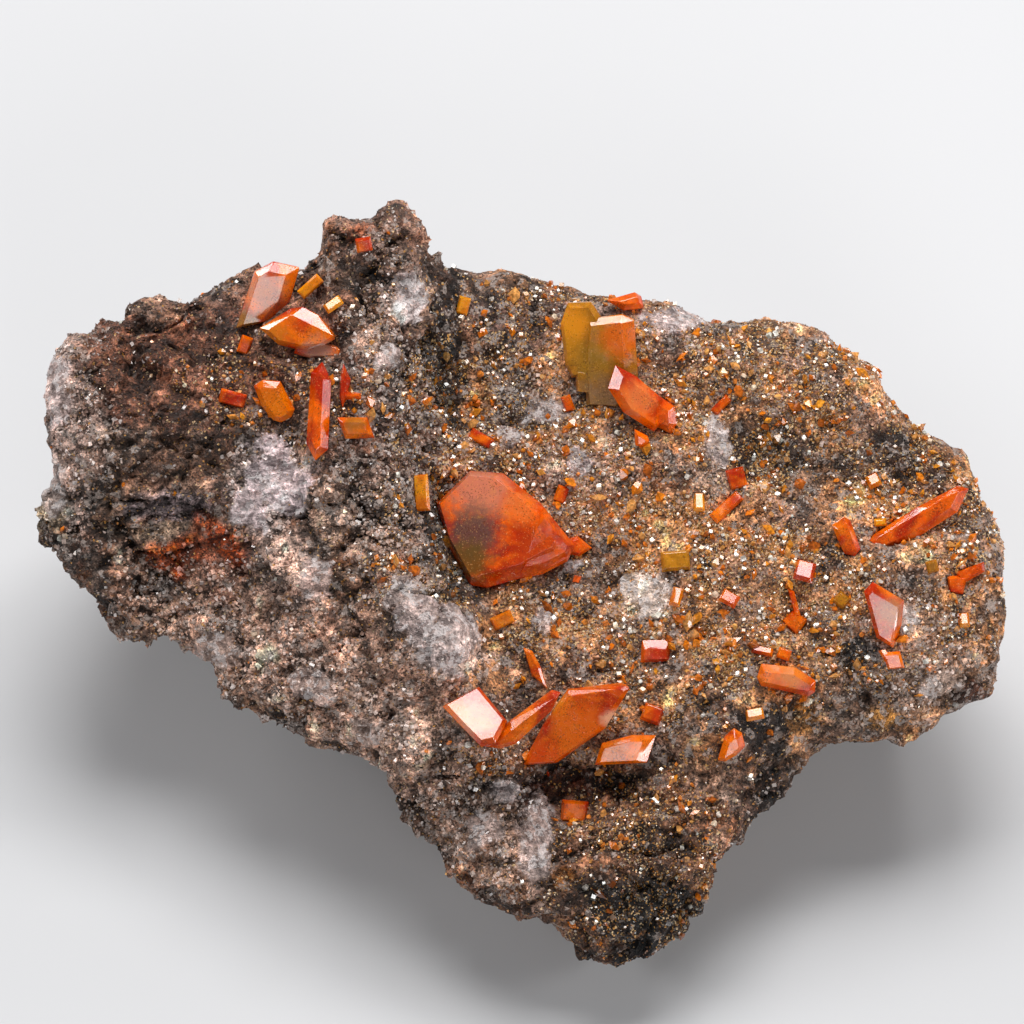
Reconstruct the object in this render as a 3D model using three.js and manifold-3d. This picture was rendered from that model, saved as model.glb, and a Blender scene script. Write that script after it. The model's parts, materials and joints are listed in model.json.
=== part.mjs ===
// Wulfenite crystals on a lump of druse-covered rock.
//
// The rock is described in a "face frame": x runs across the crystal-covered face, y up it and z out of
// it. The whole face frame leans back by LEAN when the rock stands on its flat base. Lengths are in mm.

import * as THREE from 'three';
import { ConvexGeometry } from 'three/addons/geometries/ConvexGeometry.js';
import { mergeVertices } from 'three/addons/utils/BufferGeometryUtils.js';
import Module from 'manifold-3d';

const wasm = await Module();
wasm.setup();

// ---------------------------------------------------------------- driving dimensions

const LEAN = THREE.MathUtils.degToRad(30); // how far the face frame leans back on the base
const BASE_DEPTH = 36; // height of the face frame's origin over the base
const FACE_FALL = Math.tan(THREE.MathUtils.degToRad(10)); // the face rises towards its lower edge
const RIM_DEPTH = 5; // the rim is widest this far behind the face
const SIDE_TAPER = Math.tan(THREE.MathUtils.degToRad(27)); // the sides draw in behind the rim
const EDGE_ROUND = 2.4; // rounding where face and sides meet
const RIM_ALLOWANCE = 1; // rounding draws the rim in by about this much
const CELL = 3.7; // size of the rock's facets
const CLEARANCE = 0.3; // gap between a crystal and its pocket
const BLOCK_SIZE = 9.5; // size of the rock's broken blocks
const BLOCK_RELIEF = 2.2; // how far those blocks step
const GRIT_SIZE = 6; // size of the smaller lumps
const GRIT_RELIEF = 0.9;
const GIRDLE = 0.22; // share of a crystal's thickness that stands square at its edge

// ---------------------------------------------------------------- the rock's form

// The rim of the face, from the far left, over the top and round.
const RIM = [
  [-60, -1], [-59.5, 1.5], [-58, 3], [-58, 7.5], [-59.5, 10], [-58, 16], [-56.5, 21], [-54.5, 23],
  [-49, 23], [-45, 25.5], [-39.5, 27.5], [-35, 27.5], [-30, 29], [-26.5, 30.5], [-23, 32.5],
  [-20, 35], [-15.5, 37], [-13, 36], [-11, 32.5], [-9.5, 31], [-6, 28], [-3.5, 28], [-1, 29],
  [2, 28], [7.5, 28.5], [12, 26.5], [19, 25.5], [27, 24], [33, 24], [37, 23.5], [42, 19.5],
  [45.5, 16.5], [46, 14], [45, 13], [47.5, 11.5], [52, 10], [54.5, 7], [58, 5.5], [59.5, 1],
  [61, -6], [61, -12.5], [60, -22], [58.5, -25], [55, -26], [51, -28], [45, -27.5], [39.5, -26.5],
  [35.5, -29], [34, -34], [35, -37], [33.5, -39], [29.5, -39], [26, -43], [25.5, -45], [26, -50],
  [23.5, -53], [18.5, -54.5], [15, -55], [12, -57], [7, -54], [1.5, -50], [-4.5, -47.5], [-9, -43],
  [-12.5, -37], [-18, -33.5], [-23.5, -30.5], [-28.5, -27], [-38, -20.5], [-41, -16.5], [-46, -15],
  [-53.5, -13.5], [-53.5, -11.5], [-55.5, -5],
];

// The crevice that parts the left block from the plateau, from the top edge down.
const CREVICE = [[-8.5, 30], [-10.3, 14], [-9.5, 2], [-8, -6], [-4.5, -13.5], [-2, -22]];

// Rounded rises (+) and hollows (-): centre, half widths, turn in degrees, height.
const LUMPS = [
  { at: [-45, 14], radius: [15, 11], turn: 10, height: 4 }, // brown shoulder
  { at: [-17, 28], radius: [8, 9], turn: 0, height: 4 }, // peak
  { at: [-17, 8], radius: [6, 17], turn: 5, height: 3 }, // spine beside the crevice
  { at: [-15, -14], radius: [8, 7], turn: 30, height: 2.5 }, // knob at the foot of the spine
  { at: [-27.5, -7], radius: [5, 5], turn: 0, height: 2.5 }, // loose flake
  { at: [-30, 4], radius: [7, 6], turn: -20, height: -1.5 }, // pale hollow
  { at: [-41, -9], radius: [8, 3], turn: 5, height: -3 }, // dark slot
  { at: [-8.5, -16.5], radius: [4.5, 3.5], turn: 0, height: 1.8 }, // pale flake
  { at: [4, -20], radius: [9, 5], turn: 20, height: 1.6 }, // bank behind the front crystals
  { at: [6, -35], radius: [10, 2.6], turn: 4, height: -4.5 }, // cavity under the ledge
  { at: [4, -45], radius: [1.8, 6], turn: -10, height: 3 }, // fin
  { at: [18, -47], radius: [8, 7], turn: 0, height: 3.5 }, // lowest lump
  { at: [33, -37], radius: [3, 3], turn: 0, height: 1.5 }, // knob by the notch
  { at: [24, 20], radius: [9, 4], turn: -5, height: 1.5 }, // bank along the top edge
  { at: [31, 8], radius: [5, 4], turn: 0, height: -1.6 }, // hollow in the plateau
  { at: [40, 15], radius: [5, 6], turn: 30, height: 1.6 },
  { at: [48, 5], radius: [5, 4], turn: 0, height: -1.2 },
  { at: [52, -8], radius: [9, 8], turn: 0, height: 2 }, // swell of the right end
  { at: [15, -2], radius: [8, 6], turn: -30, height: -1.2 },
  { at: [28, -27], radius: [5, 5], turn: 0, height: 1.6 },
];

// Long steps: the ground to the left of each line, going along it, stands higher by the rise.
const LEDGES = [
  { line: CREVICE, side: -1, rise: 5.5, width: 2.5 },
  { line: [[-62, 3], [-44, 2], [-34, 0]], side: 1, rise: 2.6, width: 1.5 },
  { line: [[-60, -8], [-42, -6.5], [-33, -9]], side: 1, rise: 2, width: 1.2 },
  { line: [[-5, -30], [8, -33], [24, -31], [36, -25]], side: 1, rise: 3, width: 1.6 },
];

// Broken faces that cut the face frame off: a point on each, the way it faces, and how far it reaches
// across the face frame before it bends away.
const FLANKS = [
  { through: [-46, -10, 1], facing: [-0.25, -0.7, 0.67], reach: 12 }, // lower left flank
  { through: [-27, -24.5, 2], facing: [-0.42, -0.6, 0.68], reach: 13 },
  { through: [-58.5, 8, -2], facing: [-0.8, 0.1, 0.6], reach: 12 }, // far left end
  { through: [14, -47, 7], facing: [0.05, -0.45, 0.89], reach: 14 }, // front of the lower lobe
  { through: [-9, -42, 2], facing: [-0.55, -0.45, 0.7], reach: 9 },
  { through: [55, -22, 2], facing: [0.25, -0.6, 0.76], reach: 10 }, // lower right rim
  { through: [-38, 25, -2], facing: [-0.15, 0.6, 0.78], reach: 14 }, // back of the shoulder
  { through: [30, -34, 5], facing: [0.6, -0.2, 0.76], reach: 7 }, // beside the notch
];

// The underside, given standing on the base: each plane passes through a point and faces down and out.
const UNDERCUTS = [
  { through: [-34, 0, 0], facing: [-0.62, 0, -0.78] },
  { through: [-30, -26, 0], facing: [-0.5, -0.5, -0.7] },
  { through: [40, 0, 0], facing: [0.5, 0, -0.86] },
  { through: [0, 40, 0], facing: [0, 0.75, -0.66] },
  { through: [0, -47, 0], facing: [0, -0.3, -0.95] },
  { through: [0, 0, -6], facing: [0, 0, -1] }, // below the ground, which then cuts the base flat
];

// ---------------------------------------------------------------- small maths

const smoothstep = THREE.MathUtils.smoothstep;

// Corners of a unit cell.
const CORNERS = [
  [0, 0, 0], [1, 0, 0], [0, 1, 0], [1, 1, 0], [0, 0, 1], [1, 0, 1], [0, 1, 1], [1, 1, 1],
];

function smoothMax(a, b, round) {
  const overlap = Math.max(round - Math.abs(a - b), 0) / round;
  return Math.max(a, b) + (overlap * overlap * round) / 4;
}

/** Nearest point on an open line: its distance, and the side of the line that (x, y) lies on. */
function nearestOnLine(x, y, line) {
  let best = { distance: Infinity, side: 1 };
  for (let i = 0; i + 1 < line.length; i++) {
    const [ax, ay] = line[i];
    const [bx, by] = line[i + 1];
    const along = ((x - ax) * (bx - ax) + (y - ay) * (by - ay)) / ((bx - ax) ** 2 + (by - ay) ** 2);
    const t = THREE.MathUtils.clamp(along, 0, 1);
    const distance = Math.hypot(x - ax - t * (bx - ax), y - ay - t * (by - ay));
    const side = (bx - ax) * (y - ay) - (by - ay) * (x - ax) > 0 ? 1 : -1;
    if (distance < best.distance) best = { distance, side };
  }
  return best;
}

/** Distance to the rim, below zero inside it. */
function rimDistance(x, y) {
  const closed = [...RIM, RIM[0]];
  let inside = false;
  for (let i = 0; i + 1 < closed.length; i++) {
    const [ax, ay] = closed[i];
    const [bx, by] = closed[i + 1];
    if (ay > y !== by > y && x < ax + ((y - ay) / (by - ay)) * (bx - ax)) inside = !inside;
  }
  const { distance } = nearestOnLine(x, y, closed);
  return inside ? -distance : distance;
}

// Large odd numbers that scatter a lattice point's bits.
const SCATTER = [374761393, 668265263, 2147483647, 974634777];

/** A repeatable random number from 0 to 1 for a lattice point. */
function lattice(i, j, k, salt) {
  let bits = [i, j, k, salt].reduce((mix, value, axis) => mix ^ Math.imul(value, SCATTER[axis]), 0);
  bits = Math.imul(bits ^ (bits >>> 13), 1274126177);
  bits = Math.imul(bits ^ (bits >>> 16), 2246822519);
  return ((bits ^ (bits >>> 15)) >>> 0) / 2 ** 32;
}

/** Smooth noise from -1 to 1. */
function grit(x, y, z) {
  const cell = [x, y, z].map(Math.floor);
  const [u, v, w] = [x, y, z].map((value, axis) => smoothstep(value - cell[axis], 0, 1));
  let sum = 0;
  for (const [di, dj, dk] of CORNERS) {
    const weight = (di ? u : 1 - u) * (dj ? v : 1 - v) * (dk ? w : 1 - w);
    sum += weight * lattice(cell[0] + di, cell[1] + dj, cell[2] + dk, 1);
  }
  return 2 * sum - 1;
}

/** Broken blocks from -1 to 1: each block of the rock has a plane of its own. */
function blocks(x, y, z) {
  const cell = [x, y, z].map(Math.floor);
  let nearest = Infinity;
  let height = 0;
  for (let i = cell[0] - 1; i <= cell[0] + 1; i++) {
    for (let j = cell[1] - 1; j <= cell[1] + 1; j++) {
      for (let k = cell[2] - 1; k <= cell[2] + 1; k++) {
        const dx = x - i - lattice(i, j, k, 2);
        const dy = y - j - lattice(i, j, k, 3);
        const dz = z - k - lattice(i, j, k, 4);
        const distance = dx * dx + dy * dy + dz * dz;
        if (distance > nearest) continue;
        nearest = distance;
        const tilt = (salt) => 2 * lattice(i, j, k, salt) - 1;
        height = 0.5 * tilt(5) + dx * tilt(6) + dy * tilt(7) + dz * tilt(8);
      }
    }
  }
  return height;
}

// ---------------------------------------------------------------- the rock's field

/** Height of the crystal-covered face over the face frame's origin. */
function relief(x, y) {
  let height = -FACE_FALL * y;
  for (const { at, radius, turn, height: rise } of LUMPS) {
    const spin = THREE.MathUtils.degToRad(turn);
    const dx = x - at[0];
    const dy = y - at[1];
    const u = (dx * Math.cos(spin) + dy * Math.sin(spin)) / radius[0];
    const v = (dy * Math.cos(spin) - dx * Math.sin(spin)) / radius[1];
    height += rise * Math.exp(-(u * u + v * v));
  }
  for (const { line, side, rise, width } of LEDGES) {
    const near = nearestOnLine(x, y, line);
    const fade = 1 - smoothstep(near.distance, 14, 30);
    height += rise * (smoothstep(near.side * side * near.distance, -width, width) - 0.5) * fade;
  }
  const groove = nearestOnLine(x, y, CREVICE).distance;
  return height - 2.5 * Math.exp(-((groove / 2) ** 2));
}

const standing = new THREE.Matrix4()
  .makeTranslation(0, 0, BASE_DEPTH)
  .multiply(new THREE.Matrix4().makeRotationX(LEAN));

function planeAt({ through, facing }) {
  const normal = new THREE.Vector3(...facing).normalize();
  return new THREE.Plane().setFromNormalAndCoplanarPoint(normal, new THREE.Vector3(...through));
}

const flanks = FLANKS.map((flank) => ({ plane: planeAt(flank), centre: flank.through, reach: flank.reach }));
const undersidePlanes = UNDERCUTS.map((cut) => planeAt(cut).applyMatrix4(standing.clone().invert()));

/** Above zero outside the rock, below zero inside, about a distance in mm. */
function rockField(x, y, z) {
  const top = relief(x, y);
  const point = new THREE.Vector3(x, y, z);
  const side = rimDistance(x, y) - RIM_ALLOWANCE + SIDE_TAPER * Math.max(top - z - RIM_DEPTH, 0);
  let field = smoothMax(z - top, side, EDGE_ROUND);
  for (const { plane, centre, reach } of flanks) {
    const beyond = Math.max(Math.hypot(x - centre[0], y - centre[1]) - reach, 0);
    field = smoothMax(field, plane.distanceToPoint(point) - beyond, 1.2);
  }
  for (const plane of undersidePlanes) field = smoothMax(field, plane.distanceToPoint(point), 4);
  const plateau = smoothstep(x, -12, 0) * (1 - smoothstep(top - z, 2, 8));
  const broken = blocks(x / BLOCK_SIZE, y / BLOCK_SIZE, z / BLOCK_SIZE);
  const lumpy = grit(x / GRIT_SIZE, y / GRIT_SIZE, z / GRIT_SIZE);
  return field + BLOCK_RELIEF * (1 - 0.6 * plateau) * broken + GRIT_RELIEF * (1 - 0.4 * plateau) * lumpy;
}

/** Height of the rock's surface over the point (x, y) of the face frame. */
function surfaceHeight(x, y) {
  let high = 30;
  while (rockField(x, y, high) > 0 && high > -30) high -= 0.5;
  if (high <= -30) throw new Error(`no rock under ${x}, ${y}`);
  let low = high;
  high += 0.5;
  for (let i = 0; i < 12; i++) {
    const middle = (low + high) / 2;
    if (rockField(x, y, middle) > 0) high = middle;
    else low = middle;
  }
  return low;
}

// ---------------------------------------------------------------- surface of a field

/** One closed surface where the field is zero, with one vertex in each cell that the surface crosses. */
function surfaceOf(field, low, high, cell) {
  const size = low.map((start, axis) => Math.ceil((high[axis] - start) / cell) + 1);
  const stride = [1, size[0], size[0] * size[1]];
  const place = (index, axis) => low[axis] + cell * (Math.floor(index / stride[axis]) % size[axis]);
  const values = Float64Array.from({ length: size[0] * size[1] * size[2] }, (_, index) =>
    field(place(index, 0), place(index, 1), place(index, 2)),
  );
  fillPinches(values, size, stride);

  const points = [];
  const vertexOf = new Map();
  const indices = [];
  const cellVertex = (index) => {
    if (!vertexOf.has(index)) {
      vertexOf.set(index, points.length);
      const steps = crossingCentre(values, index, stride);
      points.push(steps.map((step, axis) => place(index, axis) + cell * step));
    }
    return vertexOf.get(index);
  };
  for (let index = 0; index < values.length; index++) {
    for (let axis = 0; axis < 3; axis++) {
      const next = index + stride[axis];
      if (next >= values.length || values[index] < 0 === values[next] < 0) continue;
      const a = stride[(axis + 1) % 3];
      const b = stride[(axis + 2) % 3];
      const ring = [index, index - a, index - a - b, index - b].map(cellVertex);
      if (values[index] > 0) ring.reverse();
      addQuad(indices, points, ring);
    }
  }
  const geometry = new THREE.BufferGeometry();
  geometry.setAttribute('position', new THREE.Float32BufferAttribute(points.flat(), 3));
  geometry.setIndex(indices);
  return geometry;
}

/** Where only two diagonal corners of a lattice square lie outside, fill them, so no edge is shared twice. */
function fillPinches(values, size, stride) {
  for (let again = true; again; ) {
    again = false;
    for (let index = 0; index < values.length; index++) {
      for (let axis = 0; axis < 3; axis++) {
        const a = stride[(axis + 1) % 3];
        const b = stride[(axis + 2) % 3];
        const square = [index, index + a, index + a + b, index + b];
        if (square[2] >= values.length) continue;
        const [p, q, r, s] = square.map((corner) => values[corner] < 0);
        if (p !== r || q !== s || p === q) continue;
        for (const corner of square) if (values[corner] >= 0) values[corner] = -0.05;
        again = true;
      }
    }
  }
}

/** Mean of the points where the surface crosses a cell's edges, in steps of the cell. */
function crossingCentre(values, index, stride) {
  const sum = [0, 0, 0];
  let crossings = 0;
  for (const start of CORNERS) {
    for (let axis = 0; axis < 3; axis++) {
      if (start[axis]) continue;
      const from = index + start[0] * stride[0] + start[1] * stride[1] + start[2] * stride[2];
      const here = values[from];
      const there = values[from + stride[axis]];
      if (here < 0 === there < 0) continue;
      crossings++;
      for (let k = 0; k < 3; k++) sum[k] += start[k] + (k === axis ? here / (here - there) : 0);
    }
  }
  return sum.map((total) => total / crossings);
}

/** Two triangles over a ring of four points, split along the shorter diagonal. */
function addQuad(indices, points, [a, b, c, d]) {
  const gap = (i, j) => Math.hypot(...points[i].map((value, k) => value - points[j][k]));
  if (gap(a, c) < gap(b, d)) indices.push(a, b, c, a, c, d);
  else indices.push(b, c, d, b, d, a);
}

// ---------------------------------------------------------------- solids

function toSolid(geometry) {
  const bare = geometry.clone();
  bare.deleteAttribute('normal');
  bare.deleteAttribute('uv');
  const merged = mergeVertices(bare);
  const vertProperties = new Float32Array(merged.attributes.position.array);
  const triVerts = new Uint32Array(merged.index.array);
  return new wasm.Manifold(new wasm.Mesh({ numProp: 3, vertProperties, triVerts }));
}

function toGeometry(solid) {
  const { vertProperties, triVerts } = solid.getMesh();
  const geometry = new THREE.BufferGeometry();
  geometry.setAttribute('position', new THREE.BufferAttribute(vertProperties, 3));
  geometry.setIndex(new THREE.BufferAttribute(triVerts, 1));
  geometry.computeVertexNormals();
  return geometry;
}

/** The outline with each edge moved out by its own amount; a negative amount moves it in. */
function offsetOutline(outline, amounts) {
  const edges = outline.map(([x, y], i) => {
    const [nx, ny] = outline[(i + 1) % outline.length];
    const length = Math.hypot(nx - x, ny - y);
    const normal = [(ny - y) / length, (x - nx) / length];
    return { normal, reach: normal[0] * x + normal[1] * y + amounts[i] };
  });
  return edges.map((edge, i) => {
    const before = edges[(i + edges.length - 1) % edges.length];
    const det = before.normal[0] * edge.normal[1] - before.normal[1] * edge.normal[0];
    return [
      (before.reach * edge.normal[1] - edge.reach * before.normal[1]) / det,
      (edge.reach * before.normal[0] - before.reach * edge.normal[0]) / det,
    ];
  });
}

/**
 * A tablet with bevelled faces, and a square girdle if it has over four sides. Its outline runs
 * anticlockwise in its own plane.
 */
function tabletGeometry({ outline, thickness, bevels, grow = 0 }) {
  const half = thickness / 2;
  const girdle = outline.length > 4 ? GIRDLE * half : 0;
  const wide = offsetOutline(outline, outline.map(() => grow));
  const face = offsetOutline(outline, outline.map((_, i) => grow - bevels[i]));
  const ring = (points, z) => points.map(([x, y]) => new THREE.Vector3(x, y, z));
  const levels = girdle ? [girdle + grow, -girdle - grow] : [0];
  return new ConvexGeometry([
    ...ring(face, half + grow), ...levels.flatMap((z) => ring(wide, z)), ...ring(face, -half - grow),
  ]);
}

// ---------------------------------------------------------------- crystals

const ORANGE = new THREE.MeshStandardMaterial({ color: 0xd4541c, roughness: 0.15, metalness: 0 });
const RED = new THREE.MeshStandardMaterial({ color: 0xb8301a, roughness: 0.15, metalness: 0 });
const AMBER = new THREE.MeshStandardMaterial({ color: 0xc47a24, roughness: 0.2, metalness: 0 });
const OLIVE = new THREE.MeshStandardMaterial({ color: 0x8a7a2c, roughness: 0.25, metalness: 0 });
const ROCK = new THREE.MeshStandardMaterial({ color: 0x7a6a5e, roughness: 0.9, metalness: 0 });

// Crystals with an outline of their own, as seen square to the face frame, running anticlockwise.
// slope: how the tablet's plane climbs along x and y. lift: its middle's height over the rock.
// bevel: width of the bevels, one number or one for each edge.
// seat: the point whose rock height carries the crystal, where that isn't its first piece's middle.
const SHAPED = [
  {
    name: 'center_plate', tint: RED, pieces: [
      {
        outline: [[-9.4, 1], [-7.8, -4.5], [-5.2, -9.2], [-3.1, -9.5], [3.8, -7.5], [6.8, -5.9], [7.6, -4.2],
          [3.6, 1.1], [-1.1, 4.8], [-5.2, 5.1]],
        slope: [0.08, -0.1], thickness: 5, lift: 1.6, bevel: [0.5, 0.7, 0.9, 1.5, 2, 2.2, 1.6, 1.2, 0.8, 0.6],
      },
      {
        outline: [[0.4, -8.4], [3.8, -7.7], [6.9, -6.1], [7.8, -4.1], [4, 0.6], [2.4, -1.6]],
        slope: [-0.1, 0.12], thickness: 4.4, lift: 2.2, bevel: [1.6, 1.5, 1.1, 0.8, 0.5, 0.4],
      },
      {
        outline: [[6, -3.6], [6.4, -5], [8.3, -5.6], [10, -4.5], [8.2, -3]],
        slope: [-0.2, 0], thickness: 1.8, lift: 0.5, bevel: 0.4,
      },
    ],
  },
  {
    name: 'tall_tablet', tint: ORANGE, pieces: [
      {
        outline: [[-32.2, 30], [-34.5, 23.1], [-30.1, 23.9], [-27.8, 26.5], [-26.6, 30.6], [-29.8, 31.3]],
        slope: [-0.1, 0.25], thickness: 2.6, lift: 2, bevel: [0.5, 0.5, 1.3, 1.5, 1.1, 0.5],
      },
    ],
  },
  {
    name: 'shoulder_group', tint: ORANGE, pieces: [
      {
        outline: [[-31.5, 23], [-29.1, 20.9], [-26.1, 20.2], [-22.9, 21.1], [-22.1, 21.6], [-24.2, 24.6],
          [-26.1, 25.6], [-27.6, 25.4]],
        slope: [0.05, 0.15], thickness: 2.8, lift: 1.2, bevel: [0.7, 0.8, 0.9, 0.6, 1.6, 1.5, 0.7, 0.7],
      },
      {
        outline: [[-27.2, 19.8], [-25.2, 19.2], [-21.2, 19.3], [-21, 20.4], [-23.8, 21.4], [-26.8, 21.2]],
        slope: [0, 0], thickness: 1.4, lift: 0.5, bevel: 0.3,
      },
    ],
  },
  {
    name: 'upright_blade', tint: RED, pieces: [
      {
        outline: [[-25, 17.4], [-25.6, 8.6], [-24.5, 6.4], [-22.9, 7.8], [-22.5, 16.4], [-23.6, 18.7]],
        slope: [0.1, -0.05], thickness: 2.6, lift: 0.9, bevel: [0.8, 0.8, 0.8, 0.9, 0.8, 0.7],
      },
    ],
  },
  {
    name: 'oval_plate', tint: ORANGE, pieces: [
      {
        outline: [[-32.2, 15.8], [-31.2, 13.2], [-29.8, 11.5], [-28.8, 11.2], [-27.5, 11.9], [-27.1, 12.8],
          [-28.9, 16.3], [-31.1, 16.5]],
        slope: [0.1, 0.2], thickness: 2, lift: 0.7, bevel: 0.7,
      },
    ],
  },
  {
    name: 'flat_bar', tint: ORANGE, pieces: [
      {
        outline: [[-21.8, 11.8], [-20.8, 9.1], [-17.1, 9.2], [-18, 11.8]],
        slope: [0, 0.3], thickness: 1.7, lift: 0.8, bevel: [0.5, 0.9, 0.5, 0.4],
      },
    ],
  },
  {
    name: 'side_blades', tint: RED, pieces: [
      {
        outline: [[-21.4, 16.9], [-21.5, 14.2], [-21.1, 13], [-20.5, 14.6], [-20.1, 16.5], [-21, 18.5]],
        slope: [0.2, 0], thickness: 1.4, lift: 0.7, bevel: 0.3,
      },
      {
        outline: [[-21.1, 15.2], [-21, 14], [-18.8, 14], [-18.8, 14.8]],
        slope: [0, -0.2], thickness: 1.3, lift: 0.6, bevel: 0.3,
      },
    ],
  },
  {
    name: 'red_pair', tint: RED, pieces: [
      {
        outline: [[12, 15.5], [13.9, 12.5], [17.7, 10.1], [18.6, 11], [18.8, 14.2], [15.5, 17], [12.9, 18.4]],
        slope: [-0.1, 0.1], thickness: 3, lift: 2.2, bevel: [1, 0.9, 0.7, 0.9, 0.9, 0.8, 1.2],
      },
      {
        outline: [[17.2, 15.3], [17.9, 10.8], [20, 9.8], [20.6, 11], [20.4, 13.2]],
        slope: [0.15, 0.1], thickness: 2.4, lift: 1.4, bevel: 0.8,
      },
    ],
  },
  {
    name: 'back_plate', tint: OLIVE, cutBy: 'red_pair', seat: [10, 20], pieces: [
      {
        outline: [[9.6, 24.2], [9, 18], [9.4, 13.4], [13.4, 13.1], [15.8, 16.9], [15.3, 24], [13.8, 24.7]],
        slope: [0.05, 0.3], thickness: 2.2, lift: 2.2, bevel: [0.4, 0.5, 0.5, 0.6, 1.6, 0.8, 0.7],
      },
      {
        outline: [[7, 26.2], [6.1, 23.6], [6.7, 18.4], [7.5, 16.9], [10.2, 17.1], [11.3, 20.4], [11.2, 24.3],
          [9.9, 26.3]],
        slope: [0.12, 0.26], thickness: 2, lift: 2.4, bevel: 0.5,
      },
      {
        outline: [[7.9, 18], [8.1, 15.1], [11, 14.8], [12, 17.6]],
        slope: [0.05, 0.3], thickness: 1.8, lift: 1.3, bevel: 0.3,
      },
    ],
  },
  {
    name: 'rim_wedge', tint: RED, seat: [14.8, 24.4], pieces: [
      {
        outline: [[11.9, 26.5], [14, 25.3], [16.5, 25.6], [16.2, 27], [15.4, 27.5]],
        slope: [0, -0.3], thickness: 2.2, lift: 0.4, bevel: [0.4, 0.4, 0.5, 0.5, 0.9],
      },
    ],
  },
  {
    name: 'foot_wedge', tint: RED, pieces: [
      {
        outline: [[15.3, 10.4], [15.4, 8.4], [16.2, 8.1], [17.2, 8.8], [17, 9.5]],
        slope: [0, 0.2], thickness: 1.6, lift: 0.4, bevel: 0.4,
      },
    ],
  },
  {
    name: 'front_pair', tint: ORANGE, pieces: [
      {
        outline: [[-8.6, -24.2], [-6.1, -26.8], [-3.9, -29], [-2, -28.6], [-0.6, -26], [-4.1, -21.8]],
        slope: [0.1, -0.5], thickness: 1.6, lift: 1.4, bevel: [0.4, 0.4, 0.4, 0.4, 0.5, 0.4],
      },
      {
        outline: [[-3.9, -29], [-1.4, -29.3], [0.5, -28.7], [4.9, -24.6], [6, -22.4], [4.9, -22.1],
          [-0.2, -25.9]],
        slope: [0.1, 0.35], thickness: 2.2, lift: 1.7, bevel: [0.7, 0.7, 0.8, 0.5, 0.5, 0.9, 0.8],
      },
    ],
  },
  {
    name: 'front_plate', tint: ORANGE, pieces: [
      {
        outline: [[6.9, -22.1], [3.8, -26.6], [1.3, -31.5], [5.6, -31.2], [11.6, -26.9], [14.6, -21.9],
          [14.2, -21.5]],
        slope: [0.05, 0.4], thickness: 2, lift: 2.4, bevel: [0.4, 0.4, 0.5, 0.6, 1.1, 0.6, 0.5],
      },
    ],
  },
  {
    name: 'front_wedge', tint: ORANGE, pieces: [
      {
        outline: [[11.2, -28.8], [10.3, -31.5], [16.8, -31.2], [17.9, -27.8], [14.9, -27.8]],
        slope: [0, 0.2], thickness: 2, lift: 1.2, bevel: [0.4, 0.5, 1.4, 0.6, 0.5],
      },
    ],
  },
  {
    name: 'right_blade', tint: RED, pieces: [
      {
        outline: [[44.2, -3.6], [45.1, -4.6], [47, -4.8], [50.9, -3], [55.6, 0], [57, 2.9], [55.6, 3.3],
          [50.4, 0.5], [45, -2.9]],
        slope: [0.12, 0.05], thickness: 2.2, lift: 1.3, bevel: [0.5, 0.7, 0.8, 0.9, 0.9, 0.6, 0.7, 0.8, 0.6],
      },
    ],
  },
  {
    name: 'right_tablet', tint: ORANGE, pieces: [
      {
        outline: [[39.9, -1.6], [40.4, -2.9], [41.5, -5.2], [42.8, -5.5], [43.5, -4.6], [42.2, -1],
          [41.4, -0.6]],
        slope: [0.1, 0.1], thickness: 1.8, lift: 0.9, bevel: [0.6, 0.6, 0.5, 0.5, 0.5, 0.5, 0.9],
      },
    ],
  },
  {
    name: 'standing_plate', tint: ORANGE, pieces: [
      {
        outline: [[43.8, -9.9], [45.4, -15.6], [47.5, -16.9], [48.5, -14], [48.8, -11], [44.9, -8.7]],
        slope: [-0.05, 0.25], thickness: 1.8, lift: 1.6, bevel: [0.4, 0.5, 0.7, 0.7, 1, 0.6],
      },
    ],
  },
  {
    name: 'standing_foot', tint: ORANGE, pieces: [
      {
        outline: [[45.6, -17.3], [46.6, -18.9], [47.2, -18.4], [46.6, -17.2]],
        slope: [0, -0.5], thickness: 1.2, lift: 0.5, bevel: 0.2,
      },
      {
        outline: [[46.1, -17.5], [46.8, -19.6], [48.9, -19.4], [48.3, -17.3]],
        slope: [0, 0.2], thickness: 1.4, lift: 0.5, bevel: 0.3,
      },
    ],
  },
  {
    name: 'lower_slab', tint: ORANGE, pieces: [
      {
        outline: [[30.5, -20.6], [31, -21.6], [34.6, -22], [36.9, -22.9], [37.7, -22.4], [37.8, -21],
          [35.2, -19.3], [31, -18.9]],
        slope: [0.05, 0.15], thickness: 2.2, lift: 1, bevel: [0.5, 0.7, 0.7, 0.6, 0.5, 0.7, 0.8, 0.6],
      },
    ],
  },
  {
    name: 'orange_lump', tint: ORANGE, pieces: [
      {
        outline: [[26.4, -28], [25.6, -30.8], [26.5, -31], [27.9, -30.2], [29, -29.1], [28.6, -27.5],
          [27.6, -26.9]],
        slope: [0, 0.3], thickness: 2.4, lift: 0.9, bevel: 0.7,
      },
    ],
  },
  {
    name: 'square_tablet', tint: ORANGE, pieces: [
      {
        outline: [[16.2, -16], [16, -18.8], [19.8, -18.7], [19.7, -15.9]],
        slope: [0, 0.1], thickness: 1.8, lift: 0.8, bevel: [0.4, 0.5, 0.5, 1.1],
      },
    ],
  },
  {
    name: 'leaf', tint: ORANGE, pieces: [
      {
        outline: [[1.4, -16.9], [2.5, -20.4], [4.4, -22], [3.6, -19.4], [2.5, -17.3]],
        slope: [0.3, 0.1], thickness: 1, lift: 0.6, bevel: 0.25,
      },
    ],
  },
  {
    name: 'small_leaf', tint: ORANGE, pieces: [
      {
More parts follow.
